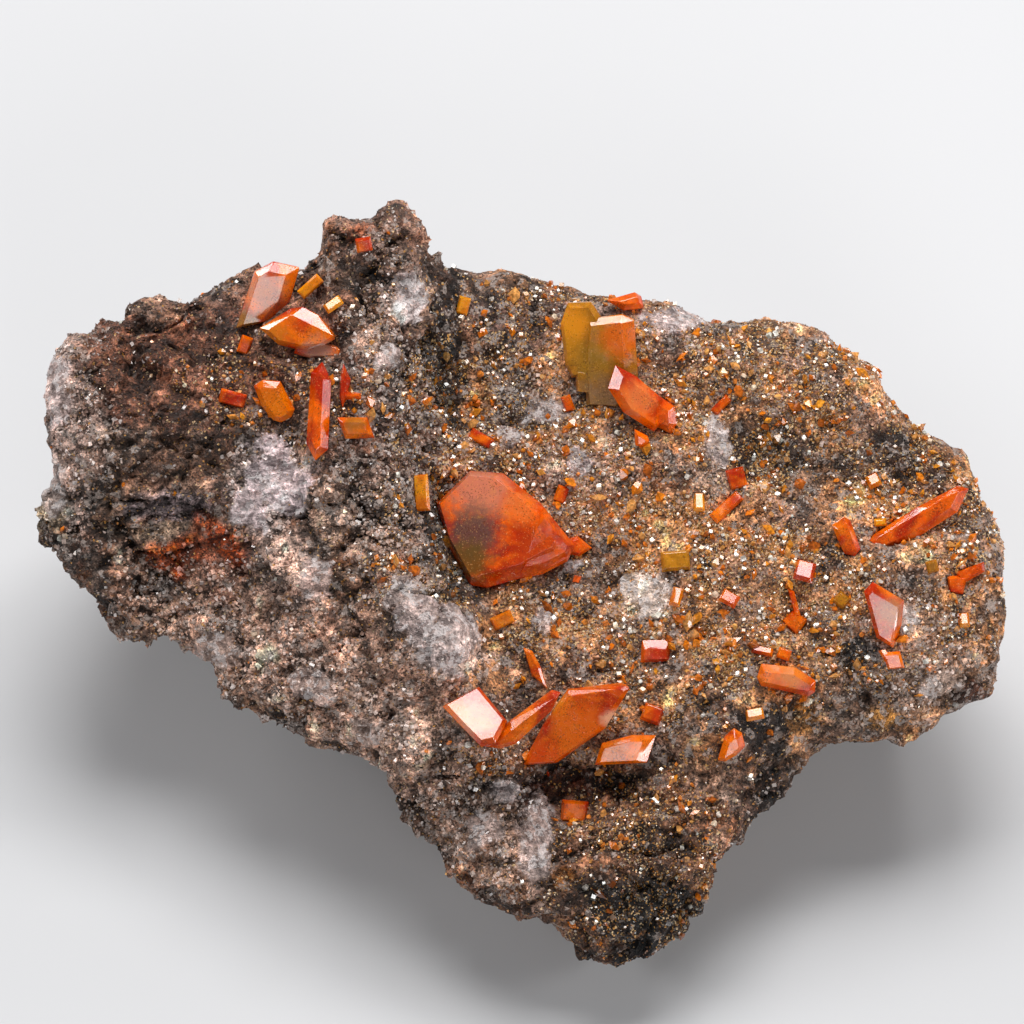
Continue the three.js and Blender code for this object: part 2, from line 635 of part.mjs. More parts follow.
        outline: [[-2, -22], [-1.4, -22.5], [-0.6, -20.5], [-0.8, -19.2], [-1.8, -20.9]],
        slope: [0.2, 0.2], thickness: 1, lift: 0.6, bevel: 0.25,
      },
    ],
  },
  {
    name: 'rim_pair', tint: RED, pieces: [
      {
        outline: [[55.3, -7.5], [56.2, -9], [59, -7.4], [58.9, -6.2]],
        slope: [0.1, 0], thickness: 1.3, lift: 0.6, bevel: 0.3,
      },
      {
        outline: [[54.2, -8], [54.5, -10.1], [56.3, -10.3], [56.8, -7.9]],
        slope: [0, 0.1], thickness: 1.4, lift: 0.5, bevel: 0.3,
      },
    ],
  },
  {
    name: 'twin_blade', tint: ORANGE, pieces: [
      {
        outline: [[34.3, -9.4], [35.3, -13.2], [36, -12.9], [35.2, -9.9]],
        slope: [0.2, 0.1], thickness: 1.2, lift: 0.8, bevel: 0.25,
      },
      {
        outline: [[33.5, -13.6], [35.5, -15.6], [36.9, -13.4], [35, -12.3]],
        slope: [0.1, 0], thickness: 1.5, lift: 0.6, bevel: 0.35,
      },
    ],
  },
];

// Small four-sided tablets: centre, length, width, turn in degrees, slope of their plane.
const TABLETS = [
  { name: 'upper_amber', tint: AMBER, at: [-25.2, 28.2], size: [3.4, 1.4], turn: 42, slope: [0, 0.1] },
  { name: 'upper_striped', tint: AMBER, at: [-22.3, 25.9], size: [2.4, 1.3], turn: 35, slope: [0.1, -0.4] },
  { name: 'left_wedge', tint: ORANGE, at: [-33.4, 20.9], size: [1.5, 2.3], turn: -20, slope: [0, 0.2] },
  { name: 'dark_red_wedge', tint: RED, at: [-34.9, 14.2], size: [3.4, 1.8], turn: -15, slope: [0, 0.2] },
  { name: 'crevice_bar', tint: AMBER, at: [-11.3, 2.4], size: [1.9, 4.6], turn: 4, slope: [0.2, 0] },
  { name: 'crevice_leaf', tint: ORANGE, at: [-3.9, 9.2], size: [3.2, 1.4], turn: -30, slope: [0, 0] },
  { name: 'lower_chip', tint: AMBER, at: [-1.2, -13.5], size: [2.8, 1.7], turn: 25, slope: [0, 0.1] },
  { name: 'striped_bar', tint: ORANGE, at: [26.8, 0.6], size: [4.6, 1.5], turn: 42, slope: [0, -0.35] },
  { name: 'round_bud', tint: ORANGE, at: [28.1, 4.2], size: [2.3, 2.6], turn: 15, slope: [0, 0.1] },
  { name: 'white_tab', tint: AMBER, at: [23.4, 1.2], size: [1.4, 2.3], turn: 0, slope: [0, -0.55] },
  { name: 'plateau_blade', tint: ORANGE, at: [26.2, 13.4], size: [2.8, 1.1], turn: 45, slope: [0, 0] },
  { name: 'green_flake', tint: OLIVE, at: [20.4, -6.1], size: [3.6, 2.5], turn: 5, slope: [0, -0.15] },
  { name: 'green_diamond', tint: OLIVE, at: [41.1, -11], size: [1.8, 1.8], turn: 50, slope: [0, 0] },
  { name: 'white_chip', tint: AMBER, at: [30.2, -25.2], size: [2.3, 1.4], turn: 10, slope: [0.1, -0.55] },
  { name: 'ledge_tablet', tint: ORANGE, at: [17.5, -25.2], size: [2.6, 2.3], turn: -20, slope: [0, -0.2] },
  { name: 'white_square', tint: AMBER, at: [45.2, 3.9], size: [1.7, 1.7], turn: 25, slope: [0, -0.5] },
  { name: 'peak_tablet', tint: ORANGE, at: [-18.5, 33.4], size: [2, 1.8], turn: 10, slope: [0, 0.3] },
  { name: 'gap_amber', tint: AMBER, at: [-6.1, 25.9], size: [1.5, 2.3], turn: -15, slope: [0.1, 0.1] },
  { name: 'back_chip', tint: ORANGE, at: [7, 13.6], size: [1.3, 2.1], turn: 20, slope: [0.1, 0.1] },
  { name: 'center_chip', tint: ORANGE, at: [6.2, 2.2], size: [1.6, 2.2], turn: -20, slope: [0, 0.1] },
  { name: 'edge_tab', tint: AMBER, at: [56.4, -13.5], size: [1.3, 1.8], turn: 5, slope: [0, -0.5] },
  { name: 'olive_cube', tint: OLIVE, at: [52.4, -6.8], size: [1.5, 1.6], turn: 15, slope: [0, 0.1] },
  { name: 'lobe_tablet', tint: ORANGE, at: [7.8, -37.4], size: [3.4, 2.8], turn: -5, slope: [0, 0.1] },
  { name: 'framed_square', tint: ORANGE, at: [36.5, -7.4], size: [2.5, 2.5], turn: -15, slope: [0, -0.5] },
  { name: 'tilted_square', tint: ORANGE, at: [27.1, -10.8], size: [2.3, 1.7], turn: -30, slope: [0, -0.4] },
  { name: 'white_spear', tint: AMBER, at: [20.5, -10.6], size: [1.4, 2.4], turn: -15, slope: [0, -0.5] },
  { name: 'white_bar', tint: ORANGE, at: [31.2, -17.3], size: [2.7, 1], turn: -12, slope: [0, -0.5] },
  { name: 'pink_tab', tint: ORANGE, at: [33.9, -17.7], size: [1.7, 1.4], turn: -20, slope: [0, -0.2] },
  { name: 'right_amber', tint: AMBER, at: [46, -1.3], size: [1.6, 1], turn: 5, slope: [0, 0] },
];

/** A small tablet as a crystal of one four-sided piece. */
function smallCrystal({ name, tint, at, size, turn, slope }) {
  const spin = THREE.MathUtils.degToRad(turn);
  const corners = [[-0.5, 0.5], [-0.5, -0.5], [0.5, -0.5], [0.5, 0.5]];
  const outline = corners.map(([u, v]) => {
    const [dx, dy] = [u * size[0], v * size[1]];
    const turned = [dx * Math.cos(spin) - dy * Math.sin(spin), dx * Math.sin(spin) + dy * Math.cos(spin)];
    return [at[0] + turned[0], at[1] + turned[1]];
  });
  const thickness = 0.7 + 0.25 * Math.min(...size);
  const piece = { outline, slope, thickness, lift: 0.3 * thickness, bevel: 0.25 * thickness };
  return { name, tint, pieces: [piece] };
}

const middleOf = (outline) => [0, 1].map(
  (k) => outline.reduce((sum, point) => sum + point[k], 0) / outline.length,
);

/** One tablet of a crystal, over rock of the given height in the face frame. grow widens it on every side. */
function tablet({ outline, slope, thickness, lift, bevel }, ground, grow = 0) {
  const middle = middleOf(outline);
  const normal = new THREE.Vector3(-slope[0], -slope[1], 1).normalize();
  const across = new THREE.Vector3(1, 0, slope[0]).normalize();
  const up = normal.clone().cross(across);
  const plane = outline.map(([x, y]) => {
    const [dx, dy] = [x - middle[0], y - middle[1]];
    const offset = new THREE.Vector3(dx, dy, slope[0] * dx + slope[1] * dy);
    return [offset.dot(across), offset.dot(up)];
  });
  const bevels = Array.isArray(bevel) ? bevel : outline.map(() => bevel);
  const geometry = tabletGeometry({ outline: plane, thickness, bevels, grow });
  const place = new THREE.Matrix4().makeBasis(across, up, normal).setPosition(...middle, ground + lift);
  return toSolid(geometry.applyMatrix4(place));
}

/** A whole crystal as one solid. */
function crystalSolid({ pieces, seat = middleOf(pieces[0].outline) }, grow = 0) {
  const ground = surfaceHeight(...seat);
  return pieces.map((piece) => tablet(piece, ground, grow)).reduce((all, solid) => all.add(solid));
}

// ---------------------------------------------------------------- scene graph

const crystals = [...SHAPED, ...TABLETS.map(smallCrystal)];
const sockets = new Map(crystals.map((crystal) => [crystal.name, crystalSolid(crystal, CLEARANCE)]));

const face = new THREE.Group();
face.applyMatrix4(standing);
for (const crystal of crystals) {
  let solid = crystalSolid(crystal);
  if (crystal.cutBy) solid = solid.subtract(sockets.get(crystal.cutBy));
  const mesh = new THREE.Mesh(toGeometry(solid), crystal.tint);
  mesh.name = crystal.name;
  face.add(mesh);
}

const rockSurface = surfaceOf(rockField, [-66, -63, -76], [66, 44, 22], CELL);
const ground = new THREE.BoxGeometry(300, 300, 100).translate(0, 0, -50);
let rock = toSolid(rockSurface.applyMatrix4(standing)).subtract(toSolid(ground));
for (const socket of sockets.values()) rock = rock.subtract(socket.transform(standing.elements));

const matrix = new THREE.Mesh(toGeometry(rock), ROCK);
matrix.name = 'matrix';

const specimen = new THREE.Group();
specimen.add(matrix, face);
const bounds = new THREE.Box3().setFromObject(specimen);
const centre = bounds.getCenter(new THREE.Vector3());
specimen.position.set(-centre.x, -centre.y, -bounds.min.z);

export default specimen;
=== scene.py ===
"""Wulfenite crystals on a lump of druse-covered rock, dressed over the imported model."""

import json
import math
from collections.abc import Callable
from dataclasses import dataclass

import bpy
import numpy as np
from bpy.props import FloatProperty, FloatVectorProperty, IntProperty, PointerProperty
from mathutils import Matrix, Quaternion, Vector
from mathutils.bvhtree import BVHTree


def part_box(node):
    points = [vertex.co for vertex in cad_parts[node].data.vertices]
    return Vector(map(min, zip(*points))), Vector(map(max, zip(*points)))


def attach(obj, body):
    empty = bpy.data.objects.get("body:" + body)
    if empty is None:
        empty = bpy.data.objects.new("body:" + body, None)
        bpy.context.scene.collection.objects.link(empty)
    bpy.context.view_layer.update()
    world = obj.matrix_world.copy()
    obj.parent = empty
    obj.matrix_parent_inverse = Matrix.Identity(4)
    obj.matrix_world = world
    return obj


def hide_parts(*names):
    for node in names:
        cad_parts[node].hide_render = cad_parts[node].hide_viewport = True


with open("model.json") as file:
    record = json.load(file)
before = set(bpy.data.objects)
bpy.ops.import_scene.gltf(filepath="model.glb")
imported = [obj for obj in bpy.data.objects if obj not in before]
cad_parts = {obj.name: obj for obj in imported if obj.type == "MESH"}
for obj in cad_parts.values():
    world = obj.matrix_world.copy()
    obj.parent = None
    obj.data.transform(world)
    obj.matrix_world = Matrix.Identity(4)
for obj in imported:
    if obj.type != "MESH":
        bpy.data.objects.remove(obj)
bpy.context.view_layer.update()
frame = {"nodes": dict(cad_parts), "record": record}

bl_info = {
    "name": "Wulfenite on Matrix",
    "version": (1, 0, 0),
    "blender": (4, 5, 0),
    "location": "View3D > Sidebar > Wulfenite",
    "description": "Dresses a wulfenite specimen: rock, druse, crystals and stage",
    "category": "Object",
}

MM = 0.001
# Corners nearer to each other than this are one.
WELD_GAP = 0.01 * MM

# The crystal-covered face leans back: x runs across it, y up it and z out of it, in millimetres.
LEAN = math.radians(30.0)
FACE_DEPTH = 36.0
# A small tablet whose place on the face is known ties the face to the model.
ANCHOR_NODE = "white_square"
ANCHOR_AT = (45.2, 3.9)


# ------------------------------------------------------------------ the face of the rock

def face_origin():
    """Where the face's origin lies in the model, in millimetres."""
    low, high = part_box(ANCHOR_NODE)
    centre = (low + high) / 2 / MM
    along = (ANCHOR_AT[1] - (centre.z - FACE_DEPTH) * math.sin(LEAN)) / math.cos(LEAN)
    return np.array([centre.x - ANCHOR_AT[0], centre.y - along, FACE_DEPTH])


FACE_ORIGIN = face_origin()
FACE_AXES = np.array([
    [1.0, 0.0, 0.0],
    [0.0, math.cos(LEAN), math.sin(LEAN)],
    [0.0, -math.sin(LEAN), math.cos(LEAN)],
])


def on_face(points):
    """Model points in millimetres, turned into the face's own x, y and z."""
    return (points - FACE_ORIGIN) @ FACE_AXES.T


# ------------------------------------------------------------------ numbers from places

def lattice(cells, salt):
    """A repeatable random number from 0 to 1 for each whole-number cell."""
    with np.errstate(over="ignore"):
        c = cells.astype(np.int64).astype(np.uint64)
        bits = c[..., 0] * np.uint64(374761393) ^ c[..., 1] * np.uint64(668265263)
        bits = bits ^ c[..., 2] * np.uint64(2147483647) ^ np.uint64(salt * 974634777)
        bits = (bits ^ (bits >> np.uint64(29))) * np.uint64(0xBF58476D1CE4E5B9)
        bits = (bits ^ (bits >> np.uint64(32))) * np.uint64(0x94D049BB133111EB)
    return ((bits >> np.uint64(40)).astype(float)) / 2.0**24


def lattice_vectors(cells, salt):
    """Three such numbers for each cell."""
    return np.stack([lattice(cells, salt + axis) for axis in range(3)], axis=1)


def unit(rows):
    """Rows of numbers, each scaled to the length 1."""
    return rows / np.linalg.norm(rows, axis=1)[:, None]


def waves(points, size, salt):
    """Smooth noise from -1 to 1 with lumps of the given size."""
    scaled = points / size
    cell = np.floor(scaled)
    step = scaled - cell
    step = step * step * (3.0 - 2.0 * step)
    total = np.zeros(len(points))
    for corner in np.ndindex(2, 2, 2):
        weight = np.prod(np.where(corner, step, 1.0 - step), axis=1)
        total += weight * lattice(cell + corner, salt)
    return 2.0 * total - 1.0


def cells_around(points, salt):
    """Each of the 27 cells about the points, with the way from a random spot in it to each point."""
    cell = np.floor(points)
    for shift in np.ndindex(3, 3, 3):
        here = cell + np.array(shift) - 1.0
        yield here, points - here - lattice_vectors(here, salt + 1)


def flakes(points, size, salt):
    """Broken flakes, each a plane of its own: their height from -1 to 1, and the way to their edge."""
    nearest = np.full(len(points), np.inf)
    second = np.full(len(points), np.inf)
    height = np.zeros(len(points))
    for here, gap in cells_around(points / size, salt):
        distance = (gap * gap).sum(axis=1)
        tilt = 2.0 * lattice_vectors(here, salt + 4) - 1.0
        plane = lattice(here, salt + 7) - 0.5 + (gap * tilt).sum(axis=1)
        closer = distance < nearest
        second = np.where(closer, nearest, np.minimum(second, distance))
        nearest = np.where(closer, distance, nearest)
        height = np.where(closer, plane, height)
    return height, np.sqrt(second) - np.sqrt(nearest)


def mosaic(points, size, salt):
    """One random number from 0 to 1 for each of the ragged cells that the points fall in."""
    bend = np.stack([waves(points, size * 0.4, salt + axis) for axis in range(3)], axis=1)
    nearest = np.full(len(points), np.inf)
    number = np.zeros(len(points))
    for here, gap in cells_around(points / size + 0.3 * bend, salt):
        distance = (gap * gap).sum(axis=1)
        number = np.where(distance < nearest, lattice(here, salt + 9), number)
        nearest = np.minimum(nearest, distance)
    return number


def smoothstep(low, high, value):
    """A soft step from 0 at the low value to 1 at the high one."""
    t = np.clip((value - low) / (high - low), 0.0, 1.0)
    return t * t * (3.0 - 2.0 * t)


def patch(face, at, radius, turn, salt, soft=0.22, ragged=0.45):
    """How much of a soft-edged, ragged oval on the face covers each point, from 0 to 1."""
    spin = math.radians(turn)
    dx, dy = face[:, 0] - at[0], face[:, 1] - at[1]
    u = (dx * math.cos(spin) + dy * math.sin(spin)) / radius[0]
    v = (dy * math.cos(spin) - dx * math.sin(spin)) / radius[1]
    edge = np.hypot(u, v)
    near = edge < 1.0 + soft + 1.5 * ragged
    spots = face[near]
    edge[near] += ragged * waves(spots, 3.0, 40 + salt) + 0.5 * ragged * waves(spots, 1.2, 60 + salt)
    return 1.0 - smoothstep(1.0 - soft, 1.0 + soft, edge)


def covers(face, patches, salt):
    """How far each patch of a table covers each point, with what else its row says."""
    for index, (at, radius, turn, *rest) in enumerate(patches):
        yield patch(face, at, radius, turn, salt + index), *rest


# ------------------------------------------------------------------ shader expressions

class Value:
    """A shader value that can be written in ordinary expressions."""

    def __init__(self, sheet, socket):
        self.sheet = sheet
        self.socket = socket

    def _math(self, operation, first, second):
        return self.sheet.node("ShaderNodeMath", {"operation": operation}, {0: first, 1: second})

    def __add__(self, other):
        return self._math("ADD", self, other)

    __radd__ = __add__

    def __mul__(self, other):
        return self._math("MULTIPLY", self, other)

    __rmul__ = __mul__

    def __sub__(self, other):
        return self._math("SUBTRACT", self, other)

    def __rsub__(self, other):
        return self._math("SUBTRACT", other, self)


class Sheet:
    """One material and the nodes that are laid out in it."""

    def __init__(self, name):
        self.material = bpy.data.materials.new(name)
        self.material.use_nodes = True
        self.tree = self.material.node_tree
        self.tree.nodes.clear()

    def node(self, kind, settings=None, inputs=None, output=0):
        """Adds a node, its settings first, then the values or links of its sockets."""
        node = self.tree.nodes.new(kind)
        for key, value in (settings or {}).items():
            if key == "stops":
                self._set_stops(node.color_ramp, value)
            else:
                setattr(node, key, value)
        for key, value in (inputs or {}).items():
            if isinstance(value, Value):
                self.tree.links.new(value.socket, node.inputs[key])
            else:
                node.inputs[key].default_value = value
        return Value(self, node.outputs[output]) if node.outputs else None

    def _set_stops(self, ramp, stops):
        while len(ramp.elements) > 1:
            ramp.elements.remove(ramp.elements[-1])
        for index, (position, colour) in enumerate(stops):
            element = ramp.elements[0] if index == 0 else ramp.elements.new(position)
            element.position = position
            element.color = (*colour, 1.0)

    def place(self):
        """The object's own coordinates, in metres."""
        return self.node("ShaderNodeTexCoord", output="Object")

    def noise(self, scale, detail=3.0, roughness=0.5, distortion=0.0, output=0):
        inputs = {"Vector": self.place(), "Scale": scale, "Detail": detail, "Roughness": roughness,
                  "Distortion": distortion}
        return self.node("ShaderNodeTexNoise", inputs=inputs, output=output)

    def cells(self, place, scale):
        """A random colour for each cell of the space."""
        return self.node("ShaderNodeTexVoronoi", inputs={"Vector": place, "Scale": scale}, output="Color")

    def ramp(self, value, stops):
        return self.node("ShaderNodeValToRGB", {"stops": stops}, {0: value})

    def mix(self, share, first, second, blend="MIX"):
        settings = {"data_type": "RGBA", "blend_type": blend}
        return self.node("ShaderNodeMix", settings, {0: share, 6: first, 7: second}, output=2)

    def grey(self, value):
        return self.node("ShaderNodeCombineColor", inputs={0: value, 1: value, 2: value})

    def range(self, value, low, high, to_low=0.0, to_high=1.0):
        settings = {"interpolation_type": "SMOOTHSTEP"}
        return self.node("ShaderNodeMapRange", settings, {0: value, 1: low, 2: high, 3: to_low, 4: to_high})

    def channel(self, value, index):
        return self.node("ShaderNodeSeparateColor", inputs={0: value}, output=index)

    def vector(self, operation, first, second=None, scale=None):
        inputs = {0: first, 1: second, 3: scale}
        inputs = {key: value for key, value in inputs.items() if value is not None}
        return self.node("ShaderNodeVectorMath", {"operation": operation}, inputs)

    def bump(self, height, strength, distance, normal=None):
        inputs = {"Height": height, "Strength": strength, "Distance": distance}
        if normal:
            inputs["Normal"] = normal
        return self.node("ShaderNodeBump", inputs=inputs)

    def attribute(self, name):
        return self.node("ShaderNodeAttribute", {"attribute_name": name}, output="Color")

    def finish(self, inputs):
        """Ends the sheet with one glossy surface and hands back its material."""
        surface = self.node("ShaderNodeBsdfPrincipled", inputs=inputs)
        self.node("ShaderNodeOutputMaterial", inputs={"Surface": surface})
        return self.material


def colour(rgb):
    """A colour as a socket takes it, with its alpha."""
    return (*rgb, 1.0)


# ------------------------------------------------------------------ mesh helpers

def gathered(items, key, width, kind=np.float32):
    """One property of all of a mesh's items, as rows of the given width."""
    values = np.empty(len(items) * width, kind)
    items.foreach_get(key, values)
    return values.reshape(-1, width)


def vertex_places(mesh):
    """A mesh's vertices, in millimetres."""
    return gathered(mesh.vertices, "co", 3).astype(float) / MM


def smoothed(mesh, values, passes):
    """Vertex values, averaged with their neighbours' a few times."""
    ends = gathered(mesh.edges, "vertices", 2, np.int32)
    first, second = ends.T
    count = np.bincount(ends.ravel(), minlength=len(values))[:, None] + 1.0
    for _ in range(passes):
        total = values.copy()
        for axis in range(values.shape[1]):
            total[:, axis] += np.bincount(first, values[second, axis], len(values))
            total[:, axis] += np.bincount(second, values[first, axis], len(values))
        values = total / count
    return values


def paint(mesh, name, colours):
    """Stores one colour for each vertex."""
    layer = mesh.color_attributes.new(name, "FLOAT_COLOR", "POINT")
    rgba = np.ones((len(colours), 4), np.float32)
    rgba[:, :3] = colours
    layer.data.foreach_set("color", rgba.ravel())


def linked(name, data):
    """A new object of the scene."""
    thing = bpy.data.objects.new(name, data)
    bpy.context.scene.collection.objects.link(thing)
    return thing


def add_weld(thing):
    """Joins the corners that meet, so that edges have a face on either side."""
    thing.modifiers.new("weld", "WELD").merge_threshold = WELD_GAP


def add_piece(name, mesh, slot, material):
    """Links a mesh as a piece of the specimen that rides on its one body."""
    piece = linked(name, mesh)
    mesh.materials.append(material)
    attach(piece, "root")
    return piece


def remeshed(node, cell, smoothing):
    """An even, softened copy of a node's mesh."""
    source = linked("rock_source", frame["nodes"][node].data.copy())
    add_weld(source)
    remesh = source.modifiers.new("remesh", "REMESH")
    remesh.mode = "VOXEL"
    remesh.voxel_size = cell
    soften = source.modifiers.new("soften", "SMOOTH")
    soften.iterations = smoothing
    evaluated = source.evaluated_get(bpy.context.evaluated_depsgraph_get())
    mesh = bpy.data.meshes.new_from_object(evaluated)
    bpy.data.objects.remove(source)
    mesh.materials.clear()
    return mesh


# ------------------------------------------------------------------ the rock

# Soft patches of tone on the face, some of them painted shade, by their names: centre, half widths, turn in
# degrees, colour, strength.
TONES = {
    "left flank": ((-55, 12), (4.5, 13), 0, (0.62, 0.5, 0.48), 0.85),
    "brown shoulder": ((-41, 17), (12, 9), 8, (0.215, 0.1, 0.066), 0.95),
    "shoulder edge": ((-47, 21), (7, 4), 5, (0.2, 0.085, 0.05), 0.8),
    "shoulder foot": ((-44, 6), (9, 4), 0, (0.26, 0.17, 0.13), 0.7),
    "peak": ((-16, 33), (6, 6), 0, (0.35, 0.22, 0.175), 0.85),
    "peak tip": ((-19, 35), (1.6, 1.4), 0, (0.45, 0.15, 0.06), 0.7),
    "shoulder saddle": ((-25, 22), (7, 7), 0, (0.18, 0.095, 0.065), 0.8),
    "spine": ((-15, 11), (6, 17), 4, (0.138, 0.082, 0.064), 0.85),
    "spine glint": ((-14, 27), (2.5, 3), 0, (0.62, 0.52, 0.52), 0.7),
    "spine pale": ((-17, 20), (2.5, 4), 20, (0.5, 0.38, 0.33), 0.6),
    "spine low": ((-14, -3), (5, 9), 0, (0.4, 0.29, 0.25), 0.6),
    "blue hollow": ((-30.5, 3.5), (4.5, 6), -25, (0.66, 0.6, 0.63), 0.95),
    "hollow shade": ((-36, 8), (6, 3), 10, (0.12, 0.07, 0.05), 0.7),
    "dark streak": ((-42, 1), (5, 2.2), 5, (0.28, 0.26, 0.31), 0.95),
    "pale band": ((-42, -2.2), (6, 1.2), 4, (0.5, 0.42, 0.34), 0.75),
    "pale nodule": ((-58, 0), (2.5, 2.5), 0, (0.5, 0.48, 0.38), 0.8),
    "rust": ((-38, -6.5), (5.5, 4.5), 20, (0.84, 0.15, 0.004), 1.0),
    # Painted shade in the slot beside the rust.
    "slot shade": ((-40.5, -9.5), (4, 1.2), 6, (0.035, 0.02, 0.015), 0.9),
    "loose flake": ((-27.5, -7.5), (5, 5), 0, (0.68, 0.54, 0.5), 0.95),
    "flake shade": ((-31.5, -12.5), (4, 1.5), -30, (0.1, 0.06, 0.045), 0.7),
    "lower flank": ((-28, -17), (20, 7), -28, (0.68, 0.47, 0.39), 0.85),
    "lower flank foot": ((-14, -28), (9, 6), -35, (0.84, 0.62, 0.53), 0.85),
    "pale flake": ((-8.5, -16.5), (5, 3.8), 0, (0.68, 0.55, 0.51), 0.95),
    # Painted shade: the crevice is near black down its whole length.
    "crevice shade top": ((-8, 20), (2.9, 12), 4, (0.028, 0.015, 0.011), 0.97),
    "crevice shade foot": ((-7.8, -3), (2.9, 10), 18, (0.028, 0.015, 0.011), 0.97),
    "back of plateau": ((0, 24), (8, 4), -5, (0.11, 0.075, 0.075), 0.85),
    "back rim": ((26, 21), (10, 3), -12, (0.26, 0.17, 0.14), 0.7),
    "white patch high": ((1, 12), (5, 3.5), 0, (0.14, 0.1, 0.085), 0.85),
    "white patch back": ((8, 5), (5, 3), 20, (0.46, 0.36, 0.32), 0.7),
    "white patch rim": ((19, 24), (7, 2), 0, (0.46, 0.38, 0.37), 0.7),
    "white patch mid": ((16.8, -11.4), (3, 2.6), 0, (0.95, 0.75, 0.63), 0.98),
    "white patch east": ((25, 4.5), (2.5, 2.5), 0, (0.6, 0.47, 0.4), 0.7),
    # Painted shade in two hollows of the plateau.
    "dark hollow": ((31, 8), (6, 4), 0, (0.08, 0.045, 0.03), 0.9),
    "dark hollow east": ((48, 6), (6, 4.5), 0, (0.05, 0.028, 0.02), 0.9),
    "dark spot": ((42.5, -17.5), (2.8, 2.8), 0, (0.025, 0.018, 0.017), 1.0),
    "dark spot low": ((31, -27), (3.8, 3.2), 0, (0.03, 0.022, 0.02), 0.95),
    "white east rim": ((51, -21), (7, 4.5), 15, (0.44, 0.31, 0.24), 0.8),
    "white tip": ((49, -13.5), (2.5, 2), 0, (0.66, 0.54, 0.47), 0.85),
    "red corner": ((57.5, -23.5), (2, 2.5), 0, (0.14, 0.035, 0.02), 0.85),
    "lower lobe": ((12, -46), (16, 10), -8, (0.25, 0.13, 0.076), 0.85),
    # Painted shade on the lower lump, at the bottom of the rock.
    "lower lump shade": ((17, -50), (8, 5.5), 0, (0.012, 0.007, 0.005), 0.98),
    "grey front": ((-2, -41), (6, 5), -30, (0.68, 0.48, 0.39), 0.85),
    "fin": ((4, -44), (1.6, 5), -10, (0.4, 0.31, 0.28), 0.8),
    "ledge shade": ((6, -34.5), (9, 2.4), 3, (0.055, 0.014, 0.004), 0.95),
    "white pebble": ((-1.2, -34.8), (1.7, 1.5), 0, (0.72, 0.66, 0.66), 0.95),
    "notch knob": ((32, -36), (3.5, 3.5), 0, (0.09, 0.05, 0.035), 0.85),
    "gold stain": ((27, -18), (1.6, 1.4), 0, (0.7, 0.34, 0.03), 0.85),
    "gold stain east": ((46, -26), (2.2, 1.2), 0, (0.6, 0.3, 0.04), 0.8),
    "gold stain low": ((36, -25.5), (2, 1.6), 0, (0.5, 0.24, 0.03), 0.7),
    "gold stain lobe": ((6, -46), (1.5, 2), 0, (0.55, 0.22, 0.03), 0.7),
}
# Where the druse is thick, as patches on the face: centre, half widths, turn, amount.
DRUSE = [
    ((24, 3), (36, 24), -8, 1.0),
    ((20, 20), (12, 5), -5, 0.7),
    ((40, 10), (10, 9), 0, 0.8),
    ((10, -24), (16, 6), 15, 0.7),
    ((18, -44), (12, 12), 0, 0.5),
    ((-32, 16), (8, 6), 0, 0.3),
    ((-24, 14), (5, 7), 0, 0.3),
]
# Where pale quartz shows, and where it is kept away: centre, half widths, turn, amount.
QUARTZ = [
    ((-15, 8), (8, 22), 4, 0.8),
    ((-29.5, 4), (6, 8), -25, 0.6),
    ((-55, 10), (5, 15), 0, 0.6),
    ((2, 13), (8, 6), 0, 0.8),
    ((8, 4), (7, 5), 20, 0.7),
    ((16.5, -11), (5, 4), 0, 1.0),
    ((50, -20), (9, 6), 15, 1.0),
    ((48, -12), (6, 5), 0, 0.7),
    ((-9, -17), (6, 5), 0, 0.8),
    ((-28, -19), (22, 7), -28, 0.8),
    ((-5, -38), (10, 8), -30, 0.7),
    ((19, 23), (9, 3), 0, 0.7),
    ((-38, -7), (5.5, 4.5), 20, 0.0),
    ((-42, 17), (11, 8), 8, 0.05),
    ((6, -34.5), (9, 2.6), 3, 0.0),
]
